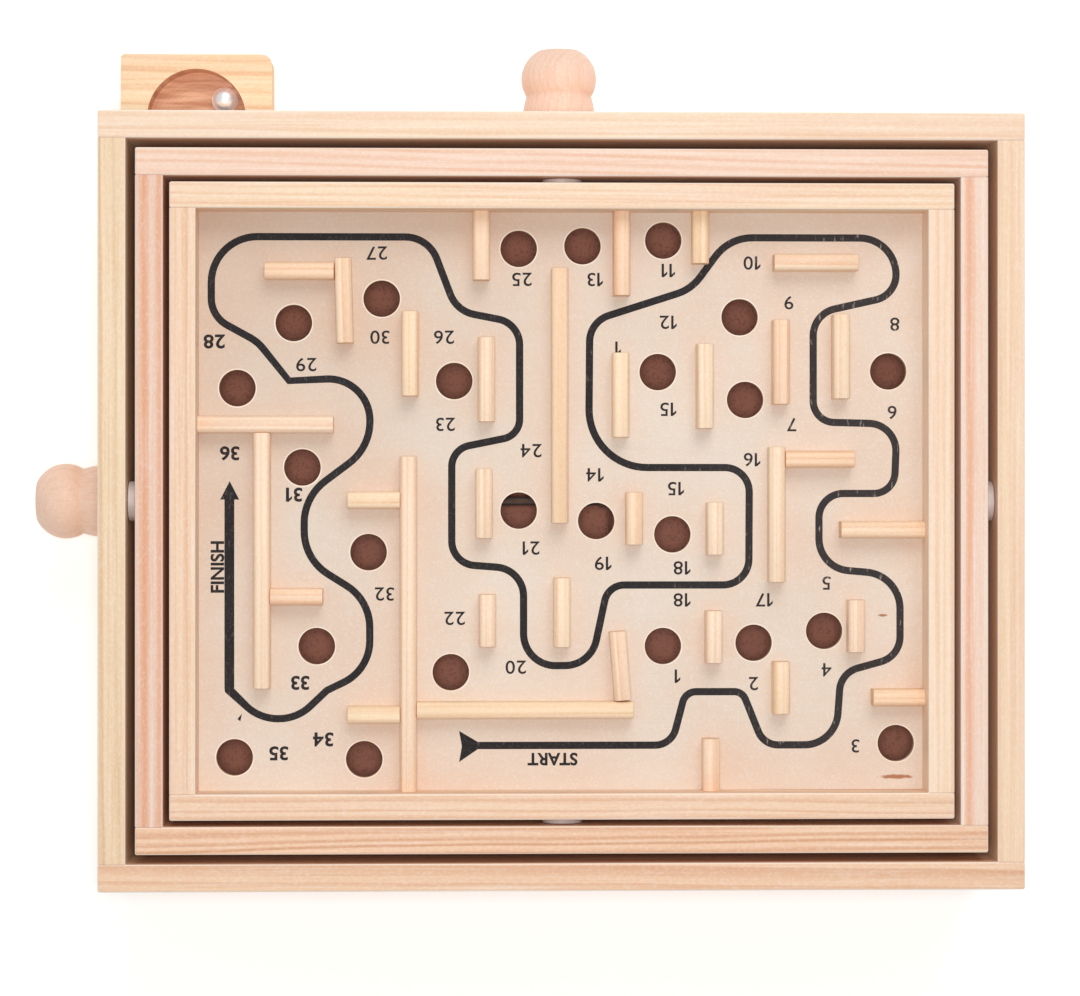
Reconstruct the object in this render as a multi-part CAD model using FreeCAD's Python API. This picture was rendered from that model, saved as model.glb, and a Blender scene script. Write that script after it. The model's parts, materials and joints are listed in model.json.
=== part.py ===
import FreeCAD, Part
import math
import os

# Wooden tilt maze. A box carries a middle frame that tilts about X, and the frame carries a
# maze tray that tilts about Y. Two knobs turn shafts whose cords tilt the frame and the tray.
# Millimetres. X runs to the player's right, Y away from the player, Z up; the origin is the
# middle of the box's underside. Every piece is a solid of its own, in parts/NODE.step.

# Driving dimensions: box
BOX_LENGTH = 300.0
BOX_WIDTH = 252.0
BOX_HEIGHT = 85.0
BOX_WALL = 9.0
BASE_THICK = 3.0
BASE_PLAY = 0.2
EASE = 0.7

# Driving dimensions: tilting frames
FRAME_GAP = 3.0
FRAME_RAIL = 9.0
FRAME_HEIGHT = 22.0
TRAY_GAP = 2.0
TRAY_RAIL = 8.5
TRAY_HEIGHT = 22.0

# Driving dimensions: maze board, holes and bars
BOARD_THICK = 3.0
BOARD_DEPTH = 14.0
GROOVE_DEPTH = 3.0
BOARD_PLAY = 0.2
HOLE_D = 12.0
BAR_WIDTH = 5.5
BAR_HEIGHT = 7.5
BAR_ROUND = 1.7
PEG_LENGTH = 17.0
SHORT_LENGTH = 22.5
MEDIUM_LENGTH = 27.5
LONG_LENGTH = 44.0
CROSS_LENGTH = 70.5
WALL_LENGTH = 83.0
SPINE_LENGTH = 109.0
CROSS_LEAN = 4.5
CORNER_LEAN = 1.5
LEAN_ROOM = 0.45

# Driving dimensions: pivots
PIVOT_DROP = 11.0
PIN_R = 1.5
PIN_GRIP = 6.5
PIN_PLAY = 0.05
SPACER_D = 13.0
SPACER_PLAY = 0.2
SPACER_ROUND = 0.4

# Driving dimensions: knobs and shafts
SHAFT_R = 1.5
SHAFT_PLAY = 0.06
SHAFT_SEAT = 5.0
SHAFT_SEAT_PLAY = 0.5
SHAFT_IN_KNOB = 14.0
RIGHT_SHAFT_Z = 36.0
FRONT_SHAFT_Z = 42.0
KNOB_LENGTH = 25.5
KNOB_HEAD_R = 12.6
KNOB_HEAD_AT = 15.7
KNOB_NECK_R = 10.9
KNOB_NECK_AT = 10.2
KNOB_FOOT_R = 12.3
KNOB_FLAT_R = 5.5
KNOB_WALL_PLAY = 0.4
RETAINER_D = 13.0
RETAINER_THICK = 2.0
RETAINER_PLAY = 0.3

# Driving dimensions: cords, springs and screw eyes
CORD_R = 0.4
CORD_LOOP_R = 1.7
KNOT_R = 1.0
CORD_OVER_WINDING = 0.1
WINDING_TURNS = 8
FRAME_CORD_X = -17.0
EYE_RING_R = 2.4
EYE_WIRE_R = 0.6
EYE_DROP = 3.4
EYE_THREAD = 6.0
SPRING_R = 2.2
SPRING_LENGTH = 14.0
SPRING_WIRE_R = 0.35
SPRING_HOOK_R = 1.6
HOOK_REACH = 0.6

# Driving dimensions: ramp, ball and ball tray
RAMP_THICK = 2.5
RAMP_LOW_Z = 6.0
RAMP_RISE_X = 9.0
RAMP_RISE_Y = 10.0
RAMP_PLAY = 0.3
BATTEN_WIDTH = 8.0
BATTEN_LEAST = 1.2
BALL_D = 9.0
BALL_TRAY_LENGTH = 52.0
BALL_TRAY_WIDTH = 28.0
BALL_TRAY_HEIGHT = 15.0
BALL_TRAY_CORNER_R = 1.5
BALL_TRAY_INNER_CORNER_R = 3.5
POCKET_R = 17.0
POCKET_FLOOR = 5.0
POCKET_OUTSIDE = 6.0
EXIT_HEIGHT = 13.0

# Driving dimensions: headless pins at the box corners
BRAD_R = 0.8
BRAD_LENGTH = 22.0
BRAD_ROWS = 3

# The field that the maze was drawn on. Places of holes and bars are measured from its middle,
# and they and the bars' lengths stretch with the field.
DRAWN_LENGTH = 237.0
DRAWN_WIDTH = 189.0

# Worked-out sizes
X_IN = BOX_LENGTH / 2 - BOX_WALL
Y_IN = BOX_WIDTH / 2 - BOX_WALL
FRAME_X = X_IN - FRAME_GAP
FRAME_Y = Y_IN - FRAME_GAP
FRAME_X_IN = FRAME_X - FRAME_RAIL
FRAME_Y_IN = FRAME_Y - FRAME_RAIL
TRAY_X = FRAME_X_IN - TRAY_GAP
TRAY_Y = FRAME_Y_IN - TRAY_GAP
FIELD_X = TRAY_X - TRAY_RAIL
FIELD_Y = TRAY_Y - TRAY_RAIL
FRAME_BOTTOM = BOX_HEIGHT - FRAME_HEIGHT
TRAY_BOTTOM = BOX_HEIGHT - TRAY_HEIGHT
BOARD_TOP = BOX_HEIGHT - BOARD_DEPTH
BOARD_BOTTOM = BOARD_TOP - BOARD_THICK
PIVOT_Z = BOX_HEIGHT - PIVOT_DROP
STRETCH_X = 2 * FIELD_X / DRAWN_LENGTH
STRETCH_Y = 2 * FIELD_Y / DRAWN_WIDTH
WINDING_R = SHAFT_R + 2 * CORD_R
WINDING_LENGTH = WINDING_TURNS * 2 * CORD_R
POCKET_X = BOX_LENGTH / 2 - BALL_TRAY_LENGTH / 2
POCKET_Y = -BOX_WIDTH / 2 - POCKET_OUTSIDE

# Middles of the holes in the maze board
HOLES = (
    (87.6, -58.2), (58.9, -66.2), (106.0, -36.9), (84.8, -11.0), (35.2, -39.3), (14.1, -82.6),
    (-6.8, -83.5), (-33.3, -85.4), (-58.4, -60.3), (-31.5, -42.3), (-60.2, -33.2), (-107.3, -42.6),
    (14.1, 3.1), (-11.3, 6.5), (-36.3, 10.9), (63.2, 16.7), (80.1, 47.4), (36.3, 56.0),
    (-33.2, 47.5), (-63.0, 46.5), (-86.2, 42.6), (-109.8, 79.5), (106.9, 83.7), (64.6, 84.4),
)

# Middles of the bars that stand free: place, and the way the bar runs in degrees from +X
FREE_MEDIUM_BARS = (
    (49.5, -48.0, 90), (24.7, -39.6, 90), (-82.9, -77.9, 0), (-71.5, -45.4, 90),
    (-91.2, -47.2, 90), (-19.1, -34.6, 90), (-46.6, -37.5, 90),
)
FREE_SHORT_BARS = ((0.1, 36.3, 90), (25.5, 0.8, 90))
FREE_PEGS = (
    (-96.1, 40.8, 90), (-71.5, 60.9, 90), (-49.5, 44.3, 90), (24.4, 38.9, 90),
    (-23.5, 5.7, 90), (-49.9, 9.0, 90),
)

X_AXIS = FreeCAD.Vector(1, 0, 0)
Y_AXIS = FreeCAD.Vector(0, 1, 0)
Z_AXIS = FreeCAD.Vector(0, 0, 1)


def vec(x, y, z):
    return FreeCAD.Vector(x, y, z)


def drawn(x, y):
    """Place on the field, for a place on the field that the maze was drawn on."""
    return x * STRETCH_X, y * STRETCH_Y


def block(low, high, ease=0.0, along=None):
    """Box between two corners. Its edges along one axis, or all its edges, are rounded."""
    size = high - low
    solid = Part.makeBox(size.x, size.y, size.z, low)
    if ease > 0:
        edges = [e for e in solid.Edges if along is None or abs(e.tangentAt(0).dot(along)) > 0.9]
        solid = solid.makeFillet(ease, edges)
    return solid


def rod(start, end, radius):
    """Round bar between two points."""
    return Part.makeCylinder(radius, (end - start).Length, start, end - start)


def loop(centre, normal, radius, wire_radius):
    """Closed ring of wire."""
    return Part.makeTorus(radius, wire_radius, centre, normal)


def fused(solids):
    return solids[0].fuse(solids[1:]).removeSplitter()


def turned(profile, start, direction):
    """Solid of revolution of a closed wire in the XZ plane, with its axis moved from Z."""
    solid = Part.Face(profile).revolve(vec(0, 0, 0), Z_AXIS, 360)
    solid = Part.Solid(solid.Shells[0]) if solid.ShapeType != "Solid" else solid
    solid.Placement = FreeCAD.Placement(start, FreeCAD.Rotation(Z_AXIS, direction))
    return solid


# Box


def corner_brads():
    """Headless pins through the front and back panels into the ends of the side panels."""
    brads = []
    for x in (-1, 1):
        for y in (-1, 1):
            for row in range(BRAD_ROWS):
                z = BOX_HEIGHT * (row + 1) / (BRAD_ROWS + 1)
                start = vec(x * (BOX_LENGTH / 2 - BOX_WALL / 2), y * BOX_WIDTH / 2, z)
                brads.append(rod(start, start - Y_AXIS * y * BRAD_LENGTH, BRAD_R))
    return brads


def shaft_hole(start, end):
    return rod(start, end, SHAFT_R + SHAFT_PLAY)


def exit_opening():
    """Way for the ball from the ramp into the pocket of the ball tray."""
    return block(vec(POCKET_X - POCKET_R, -BOX_WIDTH / 2 - 1, POCKET_FLOOR),
                 vec(min(POCKET_X + POCKET_R, X_IN), -Y_IN + 1, POCKET_FLOOR + EXIT_HEIGHT))


def long_panels(brads):
    """Front and back panels, which run the full length of the box."""
    half = BOX_LENGTH / 2
    front = block(vec(-half, -BOX_WIDTH / 2, 0), vec(half, -Y_IN, BOX_HEIGHT), EASE)
    back = block(vec(-half, Y_IN, 0), vec(half, BOX_WIDTH / 2, BOX_HEIGHT), EASE)
    front_hole = shaft_hole(vec(0, -BOX_WIDTH / 2 - 1, FRONT_SHAFT_Z), vec(0, -Y_IN + 1, FRONT_SHAFT_Z))
    back_seat = shaft_hole(vec(0, Y_IN - 1, FRONT_SHAFT_Z), vec(0, Y_IN + SHAFT_SEAT, FRONT_SHAFT_Z))
    front = front.cut([front_hole, exit_opening()] + brads)
    return {"front_panel": front, "back_panel": back.cut([back_seat] + brads)}


def side_panels(brads):
    """Left and right panels, which stand between the long ones."""
    half = BOX_LENGTH / 2
    left = block(vec(-half, -Y_IN, 0), vec(-X_IN, Y_IN, BOX_HEIGHT), EASE, Y_AXIS)
    right = block(vec(X_IN, -Y_IN, 0), vec(half, Y_IN, BOX_HEIGHT), EASE, Y_AXIS)
    left_seat = shaft_hole(vec(-X_IN + 1, 0, RIGHT_SHAFT_Z), vec(-X_IN - SHAFT_SEAT, 0, RIGHT_SHAFT_Z))
    right_hole = shaft_hole(vec(X_IN - 1, 0, RIGHT_SHAFT_Z), vec(half + 1, 0, RIGHT_SHAFT_Z))
    grip_left = rod(vec(-X_IN, 0, PIVOT_Z), vec(-X_IN - PIN_GRIP, 0, PIVOT_Z), PIN_R)
    grip_right = rod(vec(X_IN, 0, PIVOT_Z), vec(X_IN + PIN_GRIP, 0, PIVOT_Z), PIN_R)
    return {"left_panel": left.cut([left_seat, grip_left] + brads),
            "right_panel": right.cut([right_hole, grip_right] + brads)}


def base_board():
    x, y = X_IN - BASE_PLAY, Y_IN - BASE_PLAY
    return block(vec(-x, -y, 0), vec(x, y, BASE_THICK))


# Ramp


def ramp_z(x, y):
    """Height of the ramp's top, which is lowest at the front right corner."""
    return RAMP_LOW_Z + RAMP_RISE_X * (X_IN - x) / (2 * X_IN) + RAMP_RISE_Y * (Y_IN + y) / (2 * Y_IN)


def ramp_slab(x, y, drop, thickness):
    """Slab over the middle x by y, whose one face lies `drop` under the ramp's top."""
    corners = [vec(i, j, ramp_z(i, j) - drop) for i, j in ((-x, -y), (x, -y), (x, y), (-x, y))]
    face = Part.Face(Part.makePolygon(corners + corners[:1]))
    return face.extrude(Z_AXIS * thickness)


def ramp_board():
    return ramp_slab(X_IN - RAMP_PLAY, Y_IN - RAMP_PLAY, 0, -RAMP_THICK)


def ramp_battens():
    """Strips on the base that carry the ramp's edges; they stop where they would be too thin."""
    above = ramp_slab(2 * X_IN, 2 * Y_IN, RAMP_THICK, 2 * BOX_HEIGHT)
    least = RAMP_THICK + BASE_THICK + BATTEN_LEAST - RAMP_LOW_Z
    x_stop = X_IN - 2 * X_IN * least / RAMP_RISE_X
    y_stop = -Y_IN + 2 * Y_IN * least / RAMP_RISE_Y
    x_in, y_in = X_IN - BATTEN_WIDTH, Y_IN - BATTEN_WIDTH
    feet = ((-X_IN, Y_IN - BATTEN_WIDTH, X_IN, Y_IN), (-X_IN, -Y_IN, x_stop, -y_in),
            (-X_IN, -y_in, -x_in, y_in), (x_in, y_stop, X_IN, y_in))
    return [block(vec(x0, y0, BASE_THICK), vec(x1, y1, BOX_HEIGHT / 2)).cut(above)
            for x0, y0, x1, y1 in feet]


# Ball tray


def ball_tray():
    """Block with a round pocket, glued to the foot of the front panel."""
    right = BOX_LENGTH / 2
    left = right - BALL_TRAY_LENGTH
    front = -BOX_WIDTH / 2 - BALL_TRAY_WIDTH
    solid = block(vec(left, front, 0), vec(right, -BOX_WIDTH / 2, BALL_TRAY_HEIGHT))
    for x, radius in ((left, BALL_TRAY_INNER_CORNER_R), (right, BALL_TRAY_CORNER_R)):
        edges = [e for e in solid.Edges if abs(e.tangentAt(0).z) > 0.9
                 and abs(e.CenterOfMass.x - x) < 0.01 and abs(e.CenterOfMass.y - front) < 0.01]
        solid = solid.makeFillet(radius, edges)
    pocket = rod(vec(POCKET_X, POCKET_Y, POCKET_FLOOR), vec(POCKET_X, POCKET_Y, BOX_HEIGHT), POCKET_R)
    return solid.cut(pocket)


def ball():
    """Steel ball at rest against the pocket's wall, to the front left of its middle."""
    reach = POCKET_R - BALL_D / 2 - 0.9
    side = math.radians(216)
    place = vec(POCKET_X + reach * math.cos(side), POCKET_Y + reach * math.sin(side), POCKET_FLOOR)
    return Part.makeSphere(BALL_D / 2, place + Z_AXIS * BALL_D / 2)


# Pivots


def pivot_pins(inner, outer, axis):
    """Two pins across a gap, each gripped on both sides of it."""
    z = Z_AXIS * PIVOT_Z
    return [rod(z + axis * s * (inner - PIN_GRIP), z + axis * s * (outer + PIN_GRIP), PIN_R) for s in (-1, 1)]


def pivot_bores(inner, axis):
    """Bores that turn on the pivot pins."""
    z = Z_AXIS * PIVOT_Z
    depth = PIN_GRIP + SHAFT_SEAT_PLAY
    return [rod(z + axis * s * (inner - depth), z + axis * s * (inner + 1), PIN_R + PIN_PLAY)
            for s in (-1, 1)]


def spacers(inner, outer, axis):
    """Nylon washers that fill the gap round the pivot pins."""
    z = Z_AXIS * PIVOT_Z
    washers = []
    for s in (-1, 1):
        start = z + axis * s * (inner + SPACER_PLAY)
        end = z + axis * s * (outer - SPACER_PLAY)
        washer = rod(start, end, SPACER_D / 2)
        washer = washer.makeFillet(SPACER_ROUND, [e for e in washer.Edges if e.Length > SPACER_D])
        washers.append(washer.cut(rod(start - axis * s, end + axis * s, PIN_R + PIN_PLAY)))
    return washers


# Knobs and shafts


def knob(wall, outward):
    """Turned knob, a little off the wall, with a blind bore for its shaft."""
    def at(radius, height):
        return vec(radius, 0, height)

    foot = [at(0, KNOB_WALL_PLAY), at(KNOB_FOOT_R, KNOB_WALL_PLAY), at(KNOB_NECK_R, KNOB_NECK_AT)]
    head = Part.Arc(foot[-1], at(KNOB_HEAD_R, KNOB_HEAD_AT), at(KNOB_FLAT_R, KNOB_LENGTH)).toShape()
    tip = [at(KNOB_FLAT_R, KNOB_LENGTH), at(0, KNOB_LENGTH), foot[0]]
    profile = Part.Wire(Part.makePolygon(foot).Edges + [head] + Part.makePolygon(tip).Edges)
    solid = turned(profile, wall, outward)
    return solid.cut(rod(wall, wall + outward * SHAFT_IN_KNOB, SHAFT_R))


def knob_set(name, wall, outward, reach, winding_at):
    """Knob, shaft, retainers and cord winding; `reach` is how far apart the inner wall faces are."""
    face = wall - outward * BOX_WALL
    far = face - outward * reach
    shaft = rod(wall + outward * SHAFT_IN_KNOB, far - outward * (SHAFT_SEAT - SHAFT_SEAT_PLAY), SHAFT_R)
    retainers = []
    for start, inward in ((face, outward * -1), (far, outward)):
        start = start + inward * RETAINER_PLAY
        ring = rod(start, start + inward * RETAINER_THICK, RETAINER_D / 2)
        retainers.append(ring.cut(rod(start - inward, start + inward * (RETAINER_THICK + 1), SHAFT_R)))
    half = outward * (WINDING_LENGTH / 2)
    winding = rod(winding_at - half, winding_at + half, WINDING_R)
    winding = winding.cut(rod(winding_at - half * 2, winding_at + half * 2, SHAFT_R))
    return {f"{name}_knob": knob(wall, outward), f"{name}_shaft": shaft,
            f"{name}_retainers": retainers, f"{name}_winding": winding}


# Cords, springs and screw eyes


def eye_places(rail_middle, bottom, axis, offset):
    """Middles of the two screw eyes under a pair of rails."""
    return [offset + axis * s * rail_middle + Z_AXIS * (bottom - EYE_DROP) for s in (-1, 1)]


def screw_eye(place, side):
    """Ring on a shank that is screwed up into a rail."""
    shank = rod(place + Z_AXIS * EYE_RING_R, place + Z_AXIS * (EYE_DROP + EYE_THREAD), EYE_WIRE_R)
    return fused([loop(place, side, EYE_RING_R, EYE_WIRE_R), shank])


def pilot_hole(place):
    """Hole in a rail for the shank of a screw eye."""
    return rod(place + Z_AXIS * EYE_DROP, place + Z_AXIS * (EYE_DROP + EYE_THREAD), EYE_WIRE_R)


def cord_end(ring_middle, ring_radius, toward, normal):
    """Loop round a ring and its knot; returns them with the knot's middle."""
    middle = ring_middle + toward * (ring_radius + HOOK_REACH)
    knot = middle + toward * (CORD_LOOP_R + KNOT_R / 2)
    return [loop(middle, normal, CORD_LOOP_R, CORD_R), Part.makeSphere(KNOT_R, knot)], knot


def cord_and_spring(eyes, low_point, side):
    """Cord from one eye over the shaft to a spring that hangs in the other eye."""
    toward = [(low_point - eye).normalize() for eye in eyes]
    normal = toward[1].cross(side)
    knotted, knot = cord_end(eyes[1], EYE_RING_R, toward[1], normal)
    near_hook = eyes[0] + toward[0] * (EYE_RING_R + HOOK_REACH)
    coil_start = near_hook + toward[0] * SPRING_HOOK_R
    coil_end = coil_start + toward[0] * SPRING_LENGTH
    far_hook = coil_end + toward[0] * SPRING_HOOK_R
    flat = toward[0].cross(side)
    spring = fused([loop(near_hook, flat, SPRING_HOOK_R, SPRING_WIRE_R), rod(coil_start, coil_end, SPRING_R),
                    loop(far_hook, flat, SPRING_HOOK_R, SPRING_WIRE_R)])
    tied, sprung_knot = cord_end(far_hook, SPRING_HOOK_R, toward[0], side)
    runs = [rod(knot, low_point, CORD_R), rod(sprung_knot, low_point, CORD_R),
            Part.makeSphere(CORD_R, low_point)]
    return fused(knotted + tied + runs), spring


# Tilting frames


def rail_set(name, x, y, rail, bottom, cuts):
    """Four rails: the front and back ones run full length, the side ones stand between them."""
    x_in, y_in = x - rail, y - rail
    rails = {
        "front_rail": block(vec(-x, -y, bottom), vec(x, -y_in, BOX_HEIGHT), EASE),
        "back_rail": block(vec(-x, y_in, bottom), vec(x, y, BOX_HEIGHT), EASE),
        "left_rail": block(vec(-x, -y_in, bottom), vec(-x_in, y_in, BOX_HEIGHT), EASE, Y_AXIS),
        "right_rail": block(vec(x_in, -y_in, bottom), vec(x, y_in, BOX_HEIGHT), EASE, Y_AXIS),
    }
    return {f"{name}_{key}": solid.cut(cuts) for key, solid in rails.items()}


def board_groove():
    """Slab that the tray rails' groove leaves free for the board's edges."""
    return block(vec(-FIELD_X - GROOVE_DEPTH, -FIELD_Y - GROOVE_DEPTH, BOARD_BOTTOM),
                 vec(FIELD_X + GROOVE_DEPTH, FIELD_Y + GROOVE_DEPTH, BOARD_TOP))


def maze_board():
    x = FIELD_X + GROOVE_DEPTH - BOARD_PLAY
    y = FIELD_Y + GROOVE_DEPTH - BOARD_PLAY
    board = block(vec(-x, -y, BOARD_BOTTOM), vec(x, y, BOARD_TOP))
    holes = []
    for place in HOLES:
        middle = vec(*drawn(*place), BOARD_BOTTOM)
        holes.append(rod(middle - Z_AXIS, middle + Z_AXIS * (BOARD_THICK + 1), HOLE_D / 2))
    return board.cut(holes)


# Maze bars


def stretched(length, heading):
    """Length on the field of a bar whose length was drawn."""
    turn = math.radians(heading)
    return length * math.hypot(math.cos(turn) * STRETCH_X, math.sin(turn) * STRETCH_Y)


def bar(x, y, length, heading):
    """Round-topped bar that starts at x, y on the board and runs along its heading."""
    solid = block(vec(0, -BAR_WIDTH / 2, 0), vec(stretched(length, heading), BAR_WIDTH / 2, BAR_HEIGHT))
    top = [e for e in solid.Edges if abs(e.tangentAt(0).x) > 0.9 and e.CenterOfMass.z > BAR_HEIGHT / 2]
    solid = solid.makeFillet(BAR_ROUND, top)
    solid.Placement = FreeCAD.Placement(vec(x, y, BOARD_TOP), FreeCAD.Rotation(Z_AXIS, heading))
    return solid


def free_bars(places, length):
    """Bars that touch nothing else, set by their middles."""
    bars = []
    for x, y, heading in places:
        middle_x, middle_y = drawn(x, y)
        turn = math.radians(heading)
        reach = stretched(length, heading) / 2
        bars.append(bar(middle_x - math.cos(turn) * reach, middle_y - math.sin(turn) * reach,
                        length, heading))
    return bars


def maze_bars():
    """All bars. Those that butt a rail or another bar start at it."""
    half = BAR_WIDTH / 2
    spine_x, _ = drawn(50.1, 0)
    wall_x, _ = drawn(97.7, 0)
    tee_x, tee_y = drawn(-70.1, -17.6)
    _, shelf_y = drawn(0, -24.9)
    _, cross_y = drawn(0, 68.1)
    bars = {
        "spine_bar": bar(spine_x, FIELD_Y, SPINE_LENGTH, -90),
        "cross_bar": bar(spine_x - half, cross_y, CROSS_LENGTH, 180),
        "shelf_bar": bar(FIELD_X, shelf_y, LONG_LENGTH, 180),
        "finish_wall_bar": bar(wall_x, shelf_y + half, WALL_LENGTH, 90),
        "middle_wall_bar": bar(*drawn(0.8, -75.9), WALL_LENGTH, 90),
        "tee_bar": bar(tee_x, tee_y, LONG_LENGTH, 90),
    }
    corner_x, corner_y = 71.1, -65.2
    medium = free_bars(FREE_MEDIUM_BARS, MEDIUM_LENGTH)
    medium += free_bars([(corner_x, corner_y, 90 + CORNER_LEAN)], MEDIUM_LENGTH)
    medium.append(bar(drawn(-19.4, 0)[0], -FIELD_Y, MEDIUM_LENGTH, 90))
    medium.append(bar(-FIELD_X, drawn(0, 9.3)[1], MEDIUM_LENGTH, 0))
    bars.update({f"medium_bar_{number}": solid for number, solid in enumerate(medium, 1)})
    lean_x, _ = drawn(-19.8, 0)
    bars["short_bars"] = free_bars(FREE_SHORT_BARS, SHORT_LENGTH) + [
        bar(drawn(26.4, 0)[0], -FIELD_Y, SHORT_LENGTH, 90),
        bar(drawn(corner_x, 0)[0] + half + LEAN_ROOM, drawn(0, -74.9)[1], SHORT_LENGTH, 0),
        bar(tee_x - half, drawn(0, -13.7)[1], SHORT_LENGTH, 180),
        bar(lean_x, cross_y - half - LEAN_ROOM, SHORT_LENGTH, CROSS_LEAN - 90),
    ]
    bars["pegs"] = free_bars(FREE_PEGS, PEG_LENGTH) + [
        bar(drawn(-45.1, 0)[0], -FIELD_Y, PEG_LENGTH, 90),
        bar(-FIELD_X, drawn(0, 64.2)[1], PEG_LENGTH, 0),
        bar(drawn(-48.6, 0)[0], FIELD_Y, PEG_LENGTH, -90),
        bar(wall_x - half, drawn(0, 31.1)[1], PEG_LENGTH, 180),
        bar(spine_x + half, drawn(0, -0.3)[1], PEG_LENGTH, 0),
        bar(spine_x + half, drawn(0, 69.5)[1], PEG_LENGTH, 0),
    ]
    return bars


def build():
    """All nodes of the maze, by name."""
    brads = corner_brads()
    frame_eyes = eye_places(FRAME_Y - FRAME_RAIL / 2, FRAME_BOTTOM, Y_AXIS, X_AXIS * FRAME_CORD_X)
    tray_eyes = eye_places(TRAY_X - TRAY_RAIL / 2, TRAY_BOTTOM, X_AXIS, vec(0, 0, 0))
    over_winding = WINDING_R + CORD_R + CORD_OVER_WINDING
    frame_low = vec(FRAME_CORD_X, 0, RIGHT_SHAFT_Z + over_winding)
    frame_cord, frame_spring = cord_and_spring(frame_eyes, frame_low, X_AXIS)
    tray_cord, tray_spring = cord_and_spring(tray_eyes, vec(0, 0, FRONT_SHAFT_Z + over_winding), Y_AXIS)
    frame_cuts = pivot_bores(FRAME_X, X_AXIS) + [pilot_hole(eye) for eye in frame_eyes]
    frame_cuts += pivot_pins(TRAY_Y, FRAME_Y_IN, Y_AXIS)
    tray_cuts = pivot_bores(TRAY_Y, Y_AXIS) + [pilot_hole(eye) for eye in tray_eyes] + [board_groove()]

    nodes = {}
    nodes.update(long_panels(brads))
    nodes.update(side_panels(brads))
    nodes.update({"corner_brads": brads, "base_board": base_board(), "ramp_board": ramp_board(),
                  "ramp_battens": ramp_battens(), "ball_tray": ball_tray(), "ball": ball()})
    nodes.update({"frame_pivot_pins": pivot_pins(FRAME_X, X_IN, X_AXIS),
                  "frame_spacers": spacers(FRAME_X, X_IN, X_AXIS)})
    nodes.update(rail_set("frame", FRAME_X, FRAME_Y, FRAME_RAIL, FRAME_BOTTOM, frame_cuts))
    nodes.update({"frame_screw_eyes": [screw_eye(eye, X_AXIS) for eye in frame_eyes],
                  "frame_cord": frame_cord, "frame_spring": frame_spring,
                  "tray_pivot_pins": pivot_pins(TRAY_Y, FRAME_Y_IN, Y_AXIS),
                  "tray_spacers": spacers(TRAY_Y, FRAME_Y_IN, Y_AXIS)})
    nodes.update(rail_set("tray", TRAY_X, TRAY_Y, TRAY_RAIL, TRAY_BOTTOM, tray_cuts))
    nodes.update({"tray_screw_eyes": [screw_eye(eye, Y_AXIS) for eye in tray_eyes],
                  "tray_cord": tray_cord, "tray_spring": tray_spring, "maze_board": maze_board()})
    nodes.update(maze_bars())
    nodes.update(knob_set("front", vec(0, -BOX_WIDTH / 2, FRONT_SHAFT_Z), Y_AXIS * -1, 2 * Y_IN,
                          vec(0, 0, FRONT_SHAFT_Z)))
    nodes.update(knob_set("right", vec(BOX_LENGTH / 2, 0, RIGHT_SHAFT_Z), X_AXIS, 2 * X_IN,
                          vec(FRAME_CORD_X, 0, RIGHT_SHAFT_Z)))
    return nodes


def write(nodes):
    os.makedirs("parts", exist_ok=True)
    for name, solids in nodes.items():
        solids = solids if isinstance(solids, list) else [solids]
        shape = solids[0] if len(solids) == 1 else Part.makeCompound(solids)
        shape.exportStep(f"parts/{name}.step")
        volume = shape.Volume / 1000
        print(f"{name:20s} {len(shape.Solids):2d} solids {volume:9.3f} cm3 valid {shape.isValid()}")


write(build())
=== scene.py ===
"""Looks of a wooden tilt maze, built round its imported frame.

Metres. X runs to the player's right, Y away from the player and Z up. Sizes that are given in
millimetres carry MM.
"""

import json
import logging
import math
import random
from collections.abc import Iterable, Sequence
from dataclasses import dataclass, field
from enum import Enum

import bmesh
import bpy
from mathutils import Matrix, Vector

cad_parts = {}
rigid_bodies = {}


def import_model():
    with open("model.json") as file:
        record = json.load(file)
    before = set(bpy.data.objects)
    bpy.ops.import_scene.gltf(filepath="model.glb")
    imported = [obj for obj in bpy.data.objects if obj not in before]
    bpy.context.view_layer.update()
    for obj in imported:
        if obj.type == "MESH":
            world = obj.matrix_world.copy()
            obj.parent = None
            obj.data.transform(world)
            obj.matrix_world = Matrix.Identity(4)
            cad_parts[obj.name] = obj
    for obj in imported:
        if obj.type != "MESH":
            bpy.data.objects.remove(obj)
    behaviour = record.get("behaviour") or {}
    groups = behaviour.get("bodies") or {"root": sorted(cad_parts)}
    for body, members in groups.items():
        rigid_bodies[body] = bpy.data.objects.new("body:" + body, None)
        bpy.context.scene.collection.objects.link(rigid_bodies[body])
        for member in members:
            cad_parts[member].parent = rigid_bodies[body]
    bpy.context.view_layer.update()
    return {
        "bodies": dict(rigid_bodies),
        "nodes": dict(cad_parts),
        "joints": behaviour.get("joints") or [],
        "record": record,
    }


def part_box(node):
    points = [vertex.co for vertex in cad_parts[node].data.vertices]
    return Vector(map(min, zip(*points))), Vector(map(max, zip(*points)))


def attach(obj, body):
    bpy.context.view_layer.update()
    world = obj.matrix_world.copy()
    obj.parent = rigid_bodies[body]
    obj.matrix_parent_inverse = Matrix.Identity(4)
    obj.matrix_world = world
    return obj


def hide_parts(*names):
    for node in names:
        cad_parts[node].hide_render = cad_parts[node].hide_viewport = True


MM = 0.001
UP = Vector((0.0, 0.0, 1.0))

Colour = tuple[float, float, float]
Socket = bpy.types.NodeSocket
Value = Socket | float | Sequence[float]
Place = tuple[Socket, Socket, Socket]
Pair = tuple[float, float]
Shape = bmesh.types.BMesh

log = logging.getLogger("tilt_maze")


def linear(level: int) -> float:
    """Linear share of a level on the usual 0 to 255 scale."""
    share = level / 255
    return share / 12.92 if share <= 0.04045 else ((share + 0.055) / 1.055) ** 2.4


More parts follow.
